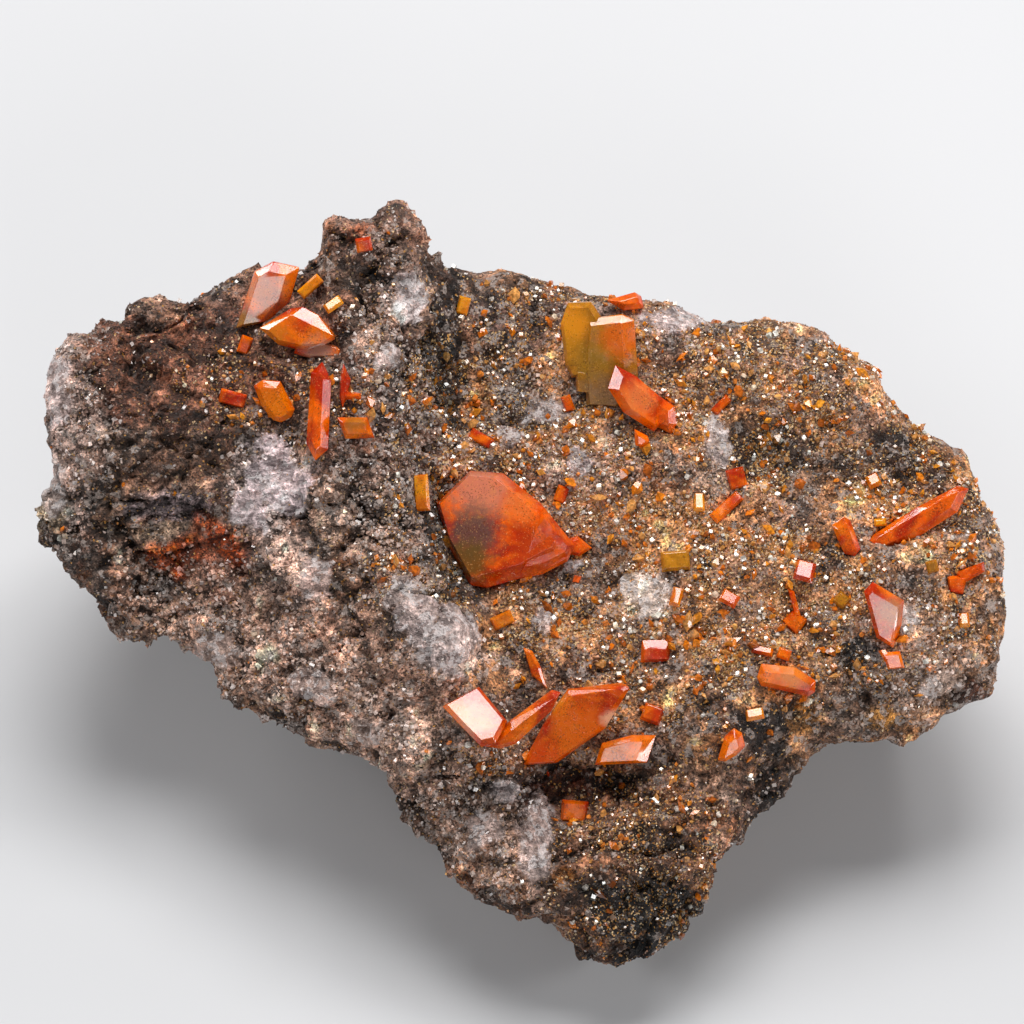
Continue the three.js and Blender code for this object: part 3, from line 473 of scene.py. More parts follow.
# Clean, pale quartz with hardly a grain on it: centre, half widths, turn, colour.
PALE = [
    ((-8.2, -16.2), (3.6, 3.4), -10, (0.64, 0.56, 0.54)),
    ((-11.8, -13.2), (2.8, 2.0), 30, (0.56, 0.48, 0.46)),
    ((-13.0, -9.5), (2.6, 1.6), 20, (0.6, 0.5, 0.46)),
    ((16.9, -10.5), (2.8, 3.1), 0, (1.0, 0.9, 0.8)),
    ((-1.2, -34.8), (2.1, 1.7), -20, (0.85, 0.8, 0.8)),
    ((-12.9, 26.6), (1.8, 2.6), 20, (0.75, 0.67, 0.66)),
    ((-15.5, 19.5), (1.5, 2.0), 0, (0.62, 0.52, 0.49)),
    ((-29.5, 4.6), (5.2, 3.6), -20, (0.76, 0.68, 0.71)),
    ((-33.0, 0.5), (2.6, 3.2), 10, (0.68, 0.6, 0.62)),
    ((-3.4, -39.5), (2.4, 2.6), 0, (0.62, 0.52, 0.48)),
    ((3.0, -40.5), (2.2, 4.2), -12, (0.55, 0.46, 0.43)),
    ((26.0, 9.0), (1.6, 2.6), 10, (0.66, 0.58, 0.55)),
    ((4.4, 12.4), (3.4, 1.8), 5, (0.42, 0.36, 0.34)),
    ((-0.4, 9.4), (1.6, 2.6), 15, (0.38, 0.33, 0.32)),
    ((8.2, 6.2), (1.5, 2.0), 0, (0.56, 0.5, 0.5)),
    ((48.9, -13.4), (2.0, 1.6), 10, (0.76, 0.66, 0.6)),
    ((53.4, -21.5), (3.0, 1.6), 25, (0.66, 0.52, 0.43)),
    ((-56.5, 14.5), (1.6, 4.2), 5, (0.56, 0.47, 0.45)),
    ((-57.5, 4.0), (1.6, 3.4), 0, (0.56, 0.47, 0.43)),
    ((-36.0, -17.5), (3.4, 1.7), -25, (0.56, 0.43, 0.37)),
    ((-25.0, -21.5), (3.6, 1.8), -25, (0.58, 0.46, 0.41)),
    ((-17.5, -27.0), (2.6, 1.6), -35, (0.56, 0.45, 0.39)),
    ((-24.5, -8.0), (1.9, 2.6), 15, (0.66, 0.52, 0.47)),
    ((20.5, 24.0), (3.4, 1.2), -8, (0.56, 0.5, 0.5)),
    ((8.0, -6.5), (1.4, 1.0), 30, (0.66, 0.58, 0.56)),
    ((4.0, -13.5), (1.5, 1.8), 0, (0.62, 0.53, 0.5)),
]
# Tones of the broken pieces that the rock is made of, from the commonest to the rarest.
FRAGMENTS = np.array([
    (0.25, 0.145, 0.1), (0.16, 0.085, 0.058), (0.36, 0.24, 0.18), (0.12, 0.08, 0.07), (0.5, 0.36, 0.29),
    (0.2, 0.14, 0.125), (0.34, 0.13, 0.045), (0.64, 0.53, 0.48),
])
# The stain of the ground mass between them, and of the druse's golden crust.
GROUND_TONE = np.array([0.34, 0.21, 0.14])
GOLD_TONE = np.array([0.92, 0.49, 0.225])
# A last turn of the rock's tones towards the colour of iron, and of the pale quartz's.
WARMTH = (0.66, 0.545, 0.465)
PALE_LIGHT = (0.74, 0.66, 0.64)


def fragments(face, size, salt):
    """The tone of the fragment at each point."""
    # The power makes the first tones commoner.
    number = mosaic(face, size, salt) ** 1.3
    return FRAGMENTS[np.minimum((number * len(FRAGMENTS)).astype(int), len(FRAGMENTS) - 1)]


def pale_covers(face):
    """How far each patch of pale quartz covers each point, broken into blocks at its edge."""
    shift = 0.5 * (mosaic(face, 1.9, 260) - 0.5)
    front = smoothstep(-20.0, -12.0, face[:, 2])
    for index, (at, radius, turn, tone) in enumerate(PALE):
        away = patch(face, at, radius, turn, 200 + index, soft=0.35, ragged=0.5)
        yield front * smoothstep(0.42, 0.58, away + shift), np.array(tone)


def clean_share(face):
    """How far each point belongs to the clean, pale quartz, from 0 to 1."""
    share = np.zeros(len(face))
    for cover, _ in pale_covers(face):
        share = np.maximum(share, cover)
    return share


def rock_tones(places):
    """The rock's colour at each place, from its fragments, its patches and from noise."""
    face = on_face(places)
    plateau = plateau_share(face)
    gold = plateau * smoothstep(-0.4, 0.6, waves(face, 5.0, 15) + 0.6 * waves(face, 2.0, 16))
    tones = blended(fragments(face, 6.0, 200), GROUND_TONE, 0.2 + 0.3 * plateau)
    tones = blended(tones, fragments(face, 2.2, 230), 0.5 * (1.0 - 0.3 * plateau))
    tones = blended(tones, GOLD_TONE, 0.8 * gold)
    front = smoothstep(-18.0, -9.0, face[:, 2])
    for cover, tone, strength in covers(face, TONES.values(), 0):
        tones = blended(tones, np.array(tone), strength * front * cover)
    uneven = 0.9 * waves(face, 2.9, 13) + 0.9 * waves(face, 1.5, 14) + 0.4 * waves(face, 0.8, 12)
    tones = tones * WARMTH * np.exp(uneven)[:, None] * 1.1
    for cover, tone in pale_covers(face):
        tones = blended(tones, tone * PALE_LIGHT * np.exp(0.6 * uneven)[:, None], 0.85 * cover)
    return np.clip(tones, 0.005, 0.95)


def blended(first, second, share):
    """Colours on the way from the first to the second."""
    share = np.asarray(share)[:, None]
    return first * (1.0 - share) + second * share


def plateau_share(face):
    """How far each point belongs to the even, druse-covered plateau, from 0 to 1."""
    across = smoothstep(-10.0, -4.0, face[:, 0]) * smoothstep(-34.0, -28.0, face[:, 1])
    return across * smoothstep(-20.0, -10.0, face[:, 2])


def rock_relief(places):
    """How far the rock stands out at each place, in millimetres."""
    face = on_face(places)
    plateau = plateau_share(face)
    blocky = 1.0 - 0.85 * plateau
    blocks, joint = flakes(face * (1.0, 1.2, 1.3), 8.0, 21)
    slabs, crack = flakes(face * (0.7, 1.4, 1.0), 3.6, 31)
    broken = smoothstep(-0.3, 0.5, waves(face, 9.0, 45))
    relief = 1.1 * blocky * blocks + 0.65 * blocky * slabs
    relief -= 0.9 * blocky * broken * (1.0 - smoothstep(0.0, 0.12, joint))
    relief -= 0.45 * blocky * broken * (1.0 - smoothstep(0.0, 0.16, crack))
    relief += 0.4 * (1.0 - 0.5 * plateau) * np.clip(flakes(face, 1.7, 71)[0], -0.7, 0.7)
    relief += 0.45 * waves(face, 2.8, 41) + 0.25 * waves(face, 1.4, 42)
    pits = smoothstep(0.4, 0.8, waves(face, 2.2, 43)) * (0.6 + 0.4 * plateau)
    clean = clean_share(face)
    return relief * (1.0 - 0.3 * clean) + 0.3 * clean - 0.8 * pits * (1.0 - clean)


# Where the outline of the rock is drawn in, as seen square to its face: place, radius, depth.
TRIMS = [
    ((-45.5, 28.0), 7.0, 2.6),
    ((-27.0, 34.0), 5.0, 2.4),
    ((-20.0, 39.0), 5.0, 1.6),
    ((12.0, -54.0), 9.0, -3.0),
    ((-52.0, -14.0), 5.0, 1.2),
]


def trimmed(places):
    """The places, drawn in towards the middle of the face near each trim."""
    face = on_face(places)
    for at, radius, depth in TRIMS:
        near = 1.0 - smoothstep(0.2, 1.0, np.hypot(face[:, 0] - at[0], face[:, 1] - at[1]) / radius)
        inwards = -np.array([*at, 0.0]) / np.hypot(*at)
        places = places + (depth * near)[:, None] * (inwards @ FACE_AXES)
    return places


def crystal_distance(places, farthest=6.0):
    """How far each place lies from the nearest crystal, up to the farthest that counts, in millimetres."""
    corners, faces = [], []
    for part in frame["record"]["subparts"]:
        if part["material_slot"] == "rock":
            continue
        mesh = frame["nodes"][part["node"]].data
        faces += [[len(corners) + index for index in polygon.vertices] for polygon in mesh.polygons]
        corners += [vertex.co / MM for vertex in mesh.vertices]
    tree = BVHTree.FromPolygons(corners, faces)
    found = (tree.find_nearest(Vector(place), farthest)[3] for place in places)
    return np.array([farthest if distance is None else distance for distance in found])


def mixes_at(places):
    """How much quartz, gold and clean pale quartz each place of the rock shows."""
    face = on_face(places)
    front = smoothstep(-26.0, -14.0, face[:, 2])
    quartz = 0.25 + 0.35 * plateau_share(face)
    for cover, amount in covers(face, QUARTZ, 90):
        quartz = quartz * (1.0 - front * cover) + amount * front * cover
    gold = np.full(len(places), 0.05)
    for cover, amount in covers(face, DRUSE, 120):
        gold = np.maximum(gold, amount * front * cover)
    gold = gold * smoothstep(-0.7, 0.5, waves(face, 4.0, 17) + 0.5 * waves(face, 1.7, 18))
    return np.stack([quartz, gold, clean_share(face)], axis=1)


def rock_material(looks):
    """Broken blocks under a crust of tiny crystals, stained by earth and iron, with clean quartz between."""
    sheet = Sheet("druse_rock")
    mixes = sheet.attribute("mixes")
    quartz, gold, clean = (sheet.channel(mixes, index) for index in range(3))
    place = sheet.place()
    cells = sheet.cells(place, 4200.0)
    pick, hue, dull = (sheet.channel(cells, index) for index in range(3))
    bend = sheet.noise(1500.0, detail=2.0, output="Color")
    bent = sheet.vector("ADD", place, sheet.vector("SCALE", bend, scale=0.0011))
    blocks = sheet.cells(bent, 950.0)
    block_pick, block_hue = sheet.channel(blocks, 0), sheet.channel(blocks, 1)
    fine = sheet.noise(2600.0, detail=2.0, roughness=0.7)
    crust = sheet.noise(800.0, detail=3.0, roughness=0.7)
    shade = sheet.range(fine, 0.32, 0.66, 0.5, 1.5) * sheet.range(crust, 0.34, 0.66, 0.35, 1.65)
    shade = shade * (block_hue * 1.1 + 0.45)
    shade = shade + (1.0 - shade) * clean * 0.35
    base = sheet.mix(1.0, sheet.attribute("tone"), sheet.grey(shade), "MULTIPLY")

    bare = 1.0 - clean
    # Painted highlight: some blocks of the clean quartz are lightened as if they flashed.
    painted_flash = sheet.range(block_pick, 0.55, 0.6) * sheet.range(crust, 0.42, 0.5)
    base = sheet.mix(painted_flash * clean * 0.6, base, (0.7, 0.65, 0.64, 1.0))
    earth = sheet.range(sheet.noise(300.0, detail=4.0, roughness=0.72), 0.48, 0.56)
    base = sheet.mix(earth * bare * (0.8 - quartz * 0.6), base, (0.48, 0.44, 0.44, 1.0), "MULTIPLY")
    pieces = sheet.range(block_pick * 0.8 + quartz * 0.4, 0.8, 0.85) * sheet.range(crust, 0.4, 0.5)
    pale = sheet.mix(fine, colour(looks.pale), (0.34, 0.26, 0.22, 1.0))
    base = sheet.mix(pieces * bare * 0.8, base, pale)
    rust = sheet.range(sheet.noise(520.0, detail=3.0, roughness=0.7) + gold * 0.04, 0.62, 0.7)
    base = sheet.mix(rust * 0.6 * (1.0 - clean * 0.7), base, colour(looks.rust))
    speckle = sheet.range(pick + gold * 0.36, 0.96, 1.0) * (1.0 - clean * 0.8)
    golds = [(0.0, (0.32, 0.11, 0.02)), (0.45, (0.66, 0.31, 0.06)), (0.8, (0.78, 0.55, 0.3))]
    golden = sheet.ramp(hue, golds)
    base = sheet.mix(speckle * 0.9, base, golden)
    # Painted shade: the tiny pits are darkened in colour.
    pits = sheet.range(pick, 0.16, 0.08) * bare
    base = sheet.mix(pits * 0.8, base, (0.02, 0.011, 0.007, 1.0))

    # Each cell and each block faces a way of its own, which its random colour gives.
    normal = sheet.node("ShaderNodeNewGeometry", output="Normal")
    for colours, amount in ((cells, speckle * 0.8 + 0.4), (blocks, bare * 0.35 + 0.6)):
        tilt = sheet.vector("SUBTRACT", colours, (0.5, 0.5, 0.5))
        normal = sheet.vector("ADD", normal, sheet.vector("SCALE", tilt, scale=amount))
    normal = sheet.vector("NORMALIZE", normal)
    height = fine * 0.5 + crust * 1.3
    return sheet.finish({
        "Base Color": base,
        "Roughness": sheet.range(dull - speckle * 0.5 - pieces * 0.15, -0.4, 0.8, 0.16, 0.85),
        "Normal": sheet.bump(height, 1.0, 0.0007, normal),
        "Specular IOR Level": 0.5,
    })


# ------------------------------------------------------------------ grains

# How far in front of the face a ray towards it starts, in millimetres.
ABOVE_FACE = 40.0


def landed(tree, at):
    """The point of a surface that lies under a place on the face, or None."""
    start = FACE_ORIGIN + np.array([*at, ABOVE_FACE]) @ FACE_AXES
    return tree.ray_cast(Vector(start * MM), -Vector(FACE_AXES[2]))[0]


def tablet_shape(width, face_share):
    """A flat crystal: a four-cornered girdle with a smaller face on each side of it."""
    girdle = np.array([[1.0, 0.0, 0.0], [0.0, width, 0.0], [-1.0, 0.0, 0.0], [0.0, -width, 0.0]]) / 2
    top = girdle * face_share + (0.0, 0.0, 0.5)
    bottom = girdle * face_share - (0.0, 0.0, 0.5)
    faces = []
    for k in range(4):
        after = (k + 1) % 4
        faces += [(k, after, 4 + after, 4 + k), (after, k, 8 + k, 8 + after)]
    faces += [(4, 5, 6, 7), (8, 11, 10, 9)]
    return np.concatenate([girdle, top, bottom]), np.array(faces)


CUBE = (
    np.array([[x, y, z] for x in (-1, 1) for y in (-1, 1) for z in (-1, 1)], float) * 0.5,
    np.array([[0, 1, 3, 2], [4, 6, 7, 5], [0, 4, 5, 1], [2, 3, 7, 6], [0, 2, 6, 4], [1, 5, 7, 3]]),
)
SPIKE = (
    np.array([[1, 0, -0.2], [-0.5, 0.87, -0.2], [-0.5, -0.87, -0.2], [0.15, 0.1, 1.0], [0, 0, -1.0]]) * 0.5,
    np.array([[0, 1, 3], [1, 2, 3], [2, 0, 3], [1, 0, 4], [2, 1, 4], [0, 2, 4]]),
)
BLADE = tablet_shape(0.55, 0.3)
SQUARE = tablet_shape(1.0, 0.8)


def random_turns(rng, count):
    """Rotation matrices turned every way, from random unit quaternions."""
    return np.array([Quaternion(turn).normalized().to_matrix() for turn in rng.normal(size=(count, 4))])


def nearly_level(rng, count):
    """Rotation matrices that spin about the upright and lean by a few degrees."""
    spin = rng.uniform(0.0, 2.0 * math.pi, count)
    up = unit(np.stack([*rng.normal(0.0, 0.09, (2, count)), np.ones(count)], axis=1))
    across = np.stack([np.cos(spin), np.sin(spin), np.zeros(count)], axis=1)
    across = unit(across - up * (across * up).sum(axis=1)[:, None])
    return np.stack([across, np.cross(up, across), up], axis=2)


class Ground:
    """The rock's surface, ready for grains to be sown on."""

    def __init__(self, mesh):
        self.places = vertex_places(mesh)
        mesh.calc_loop_triangles()
        self.triangles = gathered(mesh.loop_triangles, "vertices", 3, np.int32)
        a, b, c = (self.places[self.triangles[:, k]] for k in range(3))
        cross = np.cross(b - a, c - a)
        self.area = np.linalg.norm(cross, axis=1) / 2
        self.facing = cross / np.maximum(np.linalg.norm(cross, axis=1), 1e-12)[:, None]
        self.middle = (a + b + c) / 3
        self.face = on_face(self.middle)
        self.towards = self.facing @ FACE_AXES[2]
        mixes = gathered(mesh.color_attributes["mixes"].data, "color", 4)
        self.clean = mixes[:, 2][self.triangles].mean(axis=1)

    def covered(self, patches, base=0.0):
        """How thickly the patches cover each triangle, at least base."""
        cover = np.full(len(self.middle), float(base))
        for one, amount in covers(self.face, patches, 90):
            cover = np.maximum(cover, amount * one)
        front = smoothstep(-0.1, 0.4, self.towards) * smoothstep(-26.0, -14.0, self.face[:, 2])
        return np.maximum(cover * front, base)

    def clumps(self):
        """Uneven thickness, so that grains gather in clumps."""
        return 0.15 + smoothstep(-0.5, 0.7, waves(self.face, 4.0, 17) + 0.5 * waves(self.face, 1.7, 18))

    def sow(self, rng, count, density):
        """Random places on the surface, thicker where the density is higher."""
        lifted = smoothstep(0.6, 2.0, self.middle[:, 2])
        chance = self.area * density * lifted * (1.0 - 0.85 * self.clean)
        picked = rng.choice(len(chance), size=count, p=chance / chance.sum())
        u, v = rng.random(count), rng.random(count)
        flip = u + v > 1.0
        u[flip], v[flip] = 1.0 - u[flip], 1.0 - v[flip]
        a, b, c = (self.places[self.triangles[picked, k]] for k in range(3))
        places = a + u[:, None] * (b - a) + v[:, None] * (c - a)
        return places, self.facing[picked]


def grain_mesh(name, shape, places, turns, sizes, tints):
    """Many small crystals joined in one mesh, each with a tint of its own."""
    corners, faces = shape
    local = corners[None] * sizes[:, None, :]
    points = places[:, None, :] + np.einsum("nij,nkj->nki", turns, local)
    index = faces[None] + (np.arange(len(places)) * len(corners))[:, None, None]
    mesh = bpy.data.meshes.new(name)
    mesh.from_pydata((points.reshape(-1, 3) * MM).tolist(), [], index.reshape(-1, faces.shape[1]).tolist())
    paint(mesh, "tint", np.repeat(tints, len(corners), axis=0))
    return mesh


def grain_material(name, gloss, clear, glow):
    """Bright little crystal faces with the tint of their grain."""
    sheet = Sheet(name)
    tint = sheet.attribute("tint")
    cloud = sheet.noise(2400.0, detail=1.0)
    base = sheet.mix(1.0, tint, sheet.grey(sheet.range(cloud, 0.3, 0.7, 0.6, 1.3)), "MULTIPLY")
    return sheet.finish({
        "Base Color": base,
        "Roughness": sheet.range(cloud, 0.3, 0.7, gloss * 0.6, gloss * 1.4),
        "IOR": 1.6,
        "Transmission Weight": clear,
        "Coat Weight": glow,
        "Coat Roughness": 0.08,
        "Normal": sheet.bump(cloud, 0.15, 0.0001),
    })


def tinted(rng, count, tints):
    """Grain colours picked from a few tints, each a little lighter or darker."""
    picked = np.array(tints)[rng.integers(0, len(tints), count)]
    return np.clip(picked * rng.uniform(0.75, 1.25, (count, 1)), 0.01, 0.95)


# ------------------------------------------------------------------ settings

def colour_field(name, description, default):
    return FloatVectorProperty(name=name, description=description, subtype="COLOR", default=default)


def length_field(name, description, default):
    return FloatProperty(name=name, description=description, default=default, unit="LENGTH", precision=6)


def power_field(name, description, default):
    return FloatProperty(name=name, description=description, default=default, unit="POWER")


def count_field(name, description, default):
    return IntProperty(name=name, description=description, default=default)


class RockSettings(bpy.types.PropertyGroup):
    cell: length_field("Cell", "Size of the rock's mesh cells", 0.00057)
    swell: length_field("Swell", "Outward growth that closes the crystals' sockets", 0.00028)
    smoothing: count_field("Smoothing", "Passes that soften the facets", 6)
    pale: colour_field("Quartz", "Colour of the pale specks", (0.5, 0.42, 0.38))
    rust: colour_field("Rust", "Colour of the iron stain", (0.3, 0.13, 0.045))


class GrainSettings(bpy.types.PropertyGroup):
    golden: count_field("Golden grains", "Number of golden druse grains", 30000)
    pale: count_field("Pale grains", "Number of quartz grains", 13000)
    rock: count_field("Rock grains", "Number of loose rock grains", 28000)
    blades: count_field("Blades", "Number of small orange wulfenite blades", 950)
    squares: count_field("Squares", "Number of tiny square wulfenite tablets", 2300)


class CrystalSettings(bpy.types.PropertyGroup):
    orange: colour_field("Orange", "Colour of the orange crystals", (1.0, 0.19, 0.0))
    red: colour_field("Red", "Colour of the red crystals", (1.0, 0.15, 0.0))
    amber: colour_field("Amber", "Colour of the amber crystals", (0.95, 0.34, 0.006))
    olive: colour_field("Olive", "Colour of the olive crystals", (0.62, 0.25, 0.01))
    edge: length_field("Edge", "Width of the worn crystal edges", 0.00006)


class StageSettings(bpy.types.PropertyGroup):
    floor: colour_field("Floor", "Colour of the floor", (0.64, 0.64, 0.65))
    room: FloatProperty(name="Room light", description="Strength of the light all round", default=0.1)
    key: power_field("Top light", "Power of the soft box over the rock", 5.0)
    side: power_field("Side light", "Power of each side soft box", 1.5)
    front: power_field("Front light", "Power of the soft box at the front", 1.15)
    spark: power_field("Sparks", "Power of each small box that makes facets flash", 0.9)
    reach: length_field("Camera reach", "Distance from the camera to the rock", 1.6)
    view_width: length_field("View width", "Width that the camera sees at the rock", 0.128)


# ------------------------------------------------------------------ the pieces' operators

class WULFENITE_OT_rock(bpy.types.Operator):
    """Make the rock from the model's matrix"""
    bl_idname = "wulfenite.rock"
    bl_label = "Rock"

    def execute(self, context):
        sizes = context.scene.wulfenite_rock
        mesh = remeshed("matrix", sizes.cell, sizes.smoothing)
        places = vertex_places(mesh)
        normals = gathered(mesh.vertex_normals, "vector", 3).astype(float)
        normals = unit(smoothed(mesh, normals, 4))
        # The foot stays flat, and the relief is low about the crystals, so that it buries none.
        standing = smoothstep(0.0, 1.5, places[:, 2])
        clear = smoothstep(0.3, 3.0, crystal_distance(places))
        relief = rock_relief(places) * (0.25 + 0.75 * clear)
        moved = trimmed(places + normals * ((sizes.swell / MM + relief) * standing)[:, None])
        moved[:, 2] = np.maximum(moved[:, 2], 0.0)
        mesh.vertices.foreach_set("co", (moved * MM).astype(np.float32).ravel())
        mesh.update()
        # Painted shade: what lies deep is darker.
        light = 0.16 + 1.02 * smoothstep(-1.6, 0.8, relief)
        paint(mesh, "tone", rock_tones(places) * light[:, None])
        paint(mesh, "mixes", mixes_at(places))
        rock = add_piece("rock", mesh, "rock", rock_material(sizes))
        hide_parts("matrix")
        return {"FINISHED"}


@dataclass
class Grain:
    """One kind of grain of the druse.

    The setting holds their number, and density says how thickly they lie on each triangle of the ground.
    sink is how far they are let in, local the share of the rock's own tone in their colour, and level the
    share of them that lie nearly level, so that they catch the light from above together.
    """
    name: str
    setting: str
    shape: tuple
    density: Callable
    palette: list
    seed: int
    size: float
    gloss: float
    clear: float = 0.0
    glow: float = 0.0
    stretch: tuple = (0.6, 1.3)
    proportions: tuple = (1.0, 1.0, 1.0)
    sink: float = 0.0
    local: float = 0.0
    level: float = 0.0
    slot: str = "rock"


GRAINS = [
    Grain(
        "golden_druse", "golden", SPIKE, lambda ground: ground.covered(DRUSE, 0.02) * ground.clumps(),
        [(0.66, 0.34, 0.09), (0.78, 0.55, 0.3), (0.45, 0.18, 0.04), (0.85, 0.7, 0.52), (0.25, 0.11, 0.04),
         (0.72, 0.26, 0.03)],
        seed=101, size=0.24, gloss=0.16, glow=0.6, local=0.2,
    ),
    Grain(
        "pale_druse", "pale", CUBE, lambda ground: ground.covered(QUARTZ, 0.05),
        [(0.64, 0.53, 0.47), (0.5, 0.38, 0.32), (0.8, 0.73, 0.7), (0.36, 0.25, 0.2)],
        seed=102, size=0.3, gloss=0.28, glow=0.3, sink=0.3, local=0.5,
    ),
    Grain(
        "rock_grains", "rock", SPIKE, lambda ground: 0.3 + ground.covered(DRUSE),
        [(0.16, 0.085, 0.05), (0.1, 0.06, 0.04), (0.24, 0.13, 0.075), (0.05, 0.036, 0.03)],
        seed=103, size=0.34, gloss=0.5, stretch=(0.8, 1.6), sink=0.1, local=0.75,
    ),
    Grain(
        "blade_druse", "blades", BLADE, lambda ground: ground.covered(DRUSE, 0.01) * ground.clumps(),
        [(0.9, 0.22, 0.01), (0.88, 0.3, 0.02), (0.6, 0.14, 0.01), (0.85, 0.38, 0.1)],
        seed=104, size=1.25, gloss=0.12, clear=0.15, glow=0.6, stretch=(0.7, 1.2),
        proportions=(1.0, 0.9, 0.6), sink=-0.1, level=0.12, slot="wulfenite_orange",
    ),
    Grain(
        "square_druse", "squares", SQUARE, lambda ground: ground.covered(DRUSE, 0.01) * ground.clumps(),
        [(0.86, 0.66, 0.48), (0.9, 0.8, 0.7), (0.84, 0.4, 0.14), (0.86, 0.26, 0.04)],
        seed=105, size=0.55, gloss=0.1, clear=0.15, glow=0.8, stretch=(0.6, 1.0),
        proportions=(1.0, 1.0, 0.8), sink=-0.15, level=0.45, slot="wulfenite_amber",
    ),
]


class WULFENITE_OT_druse(bpy.types.Operator):
    """Sow the grains and the tiny crystals of the druse over the rock"""
    bl_idname = "wulfenite.druse"
    bl_label = "Druse"

    def execute(self, context):
        ground = Ground(bpy.data.objects["rock"].data)
        for grain in GRAINS:
            self.sow(grain, ground, getattr(context.scene.wulfenite_grains, grain.setting))
        return {"FINISHED"}

    def sow(self, grain, ground, count):
        """Adds a piece of many grains of one kind. Those lying on dark rock are darkened with it, by its own
        dark colour and its painted shade.
        """
        rng = np.random.default_rng(grain.seed)
        places, facing = ground.sow(rng, count, grain.density(ground))
        spread = np.clip(rng.lognormal(0.0, 0.4, (count, 1)), 0.4, 1.9)
        sizes = grain.size * spread * rng.uniform(*grain.stretch, (count, 3)) * grain.proportions
        turns = random_turns(rng, count)
        lying = rng.random(count) < grain.level
        turns[lying] = nearly_level(rng, lying.sum())
        places = places - facing * (sizes.mean(axis=1) * grain.sink)[:, None]
        under = rock_tones(places)
        # Painted shade: grains are darker where the rock's tone beneath is dark, which is partly its own
        # colour and partly painted shade in crevices and hollows.
        lit = smoothstep(0.0, 0.06, under.mean(axis=1))[:, None]
        own = tinted(rng, count, grain.palette) * (0.25 + 0.75 * lit)
        shared = under * rng.uniform(0.6, 1.8, (count, 1))
        tints = (1.0 - grain.local) * own + grain.local * shared
        mesh = grain_mesh(grain.name, grain.shape, places, turns, sizes, tints)
        material = grain_material(grain.name, grain.gloss, grain.clear, grain.glow)
        add_piece(grain.name, mesh, grain.slot, material)


# Small crystals with places of their own, by kind: place on the face, length, width, turn in degrees, colour.
SMALL_ONES = {
    "blade": [
        ((26.4, -13.1), 2.4, 0.8, -62, (0.86, 0.24, 0.02)),
        ((15.0, -19.5), 2.0, 0.8, 70, (0.84, 0.2, 0.02)),
        ((29.1, 14.2), 1.3, 0.9, 30, (0.84, 0.26, 0.03)),
        ((50.8, -22.9), 1.5, 0.9, 10, (0.8, 0.3, 0.05)),
        ((29.6, -30.8), 1.4, 0.9, 50, (0.84, 0.24, 0.02)),
        ((36.4, -19.4), 1.5, 0.8, -15, (0.86, 0.24, 0.02)),
        ((47.5, -6.2), 1.3, 0.7, 40, (0.84, 0.3, 0.03)),
        ((4.5, -32.6), 1.5, 0.8, -70, (0.7, 0.06, 0.005)),
        ((5.5, -38.5), 1.6, 0.9, -30, (0.84, 0.22, 0.02)),
        ((56.4, -6.0), 1.4, 0.7, 35, (0.86, 0.24, 0.03)),
        ((-37.4, 5.7), 1.2, 0.8, -60, (0.86, 0.4, 0.1)),
    ],
    "square": [
        ((52.2, -19.4), 1.6, 1.3, 15, (0.88, 0.48, 0.3)),
        ((3.6, 5.0), 1.4, 1.1, -20, (0.84, 0.36, 0.06)),
        ((8.1, -8.4), 1.4, 1.2, 30, (0.86, 0.12, 0.01)),
        ((-34.8, 11.8), 2.0, 1.0, -25, (0.8, 0.3, 0.05)),
        ((34.4, -23.2), 1.7, 1.2, 80, (0.86, 0.24, 0.03)),
        ((12.3, 12.4), 1.4, 1.3, 20, (0.8, 0.26, 0.03)),
        ((15.8, 22.6), 1.2, 0.9, 15, (0.86, 0.3, 0.04)),
    ],
    # The white ones stand for flashing facets: their near-white tint is a painted highlight, and they lie
    # level so that they also catch the light from above.
    "white": [
        ((8.0, 26.2), 1.4, 0.7, 10, (0.9, 0.78, 0.66)),
        ((-21.8, 17.6), 1.0, 0.7, 20, (0.9, 0.72, 0.56)),
        ((-21.9, 16.5), 0.9, 0.6, -30, (0.9, 0.74, 0.6)),
        ((-19.9, 25.6), 1.0, 0.7, 35, (0.88, 0.62, 0.4)),
        ((36.9, -23.8), 1.2, 0.8, 20, (0.9, 0.76, 0.62)),
        ((58.1, -3.8), 0.8, 0.7, 0, (0.88, 0.6, 0.38)),
        ((-5.3, -31.6), 1.0, 0.7, -20, (0.86, 0.8, 0.76)),
        ((2.7, 3.4), 0.9, 0.6, 50, (0.9, 0.74, 0.58)),
        ((33.2, 2.2), 1.1, 0.8, 10, (0.9, 0.7, 0.52)),
        ((-45.1, 17.0), 0.9, 0.5, 60, (0.88, 0.56, 0.34)),
        ((-33.3, 6.0), 1.0, 0.5, -40, (0.9, 0.7, 0.52)),
    ],
}


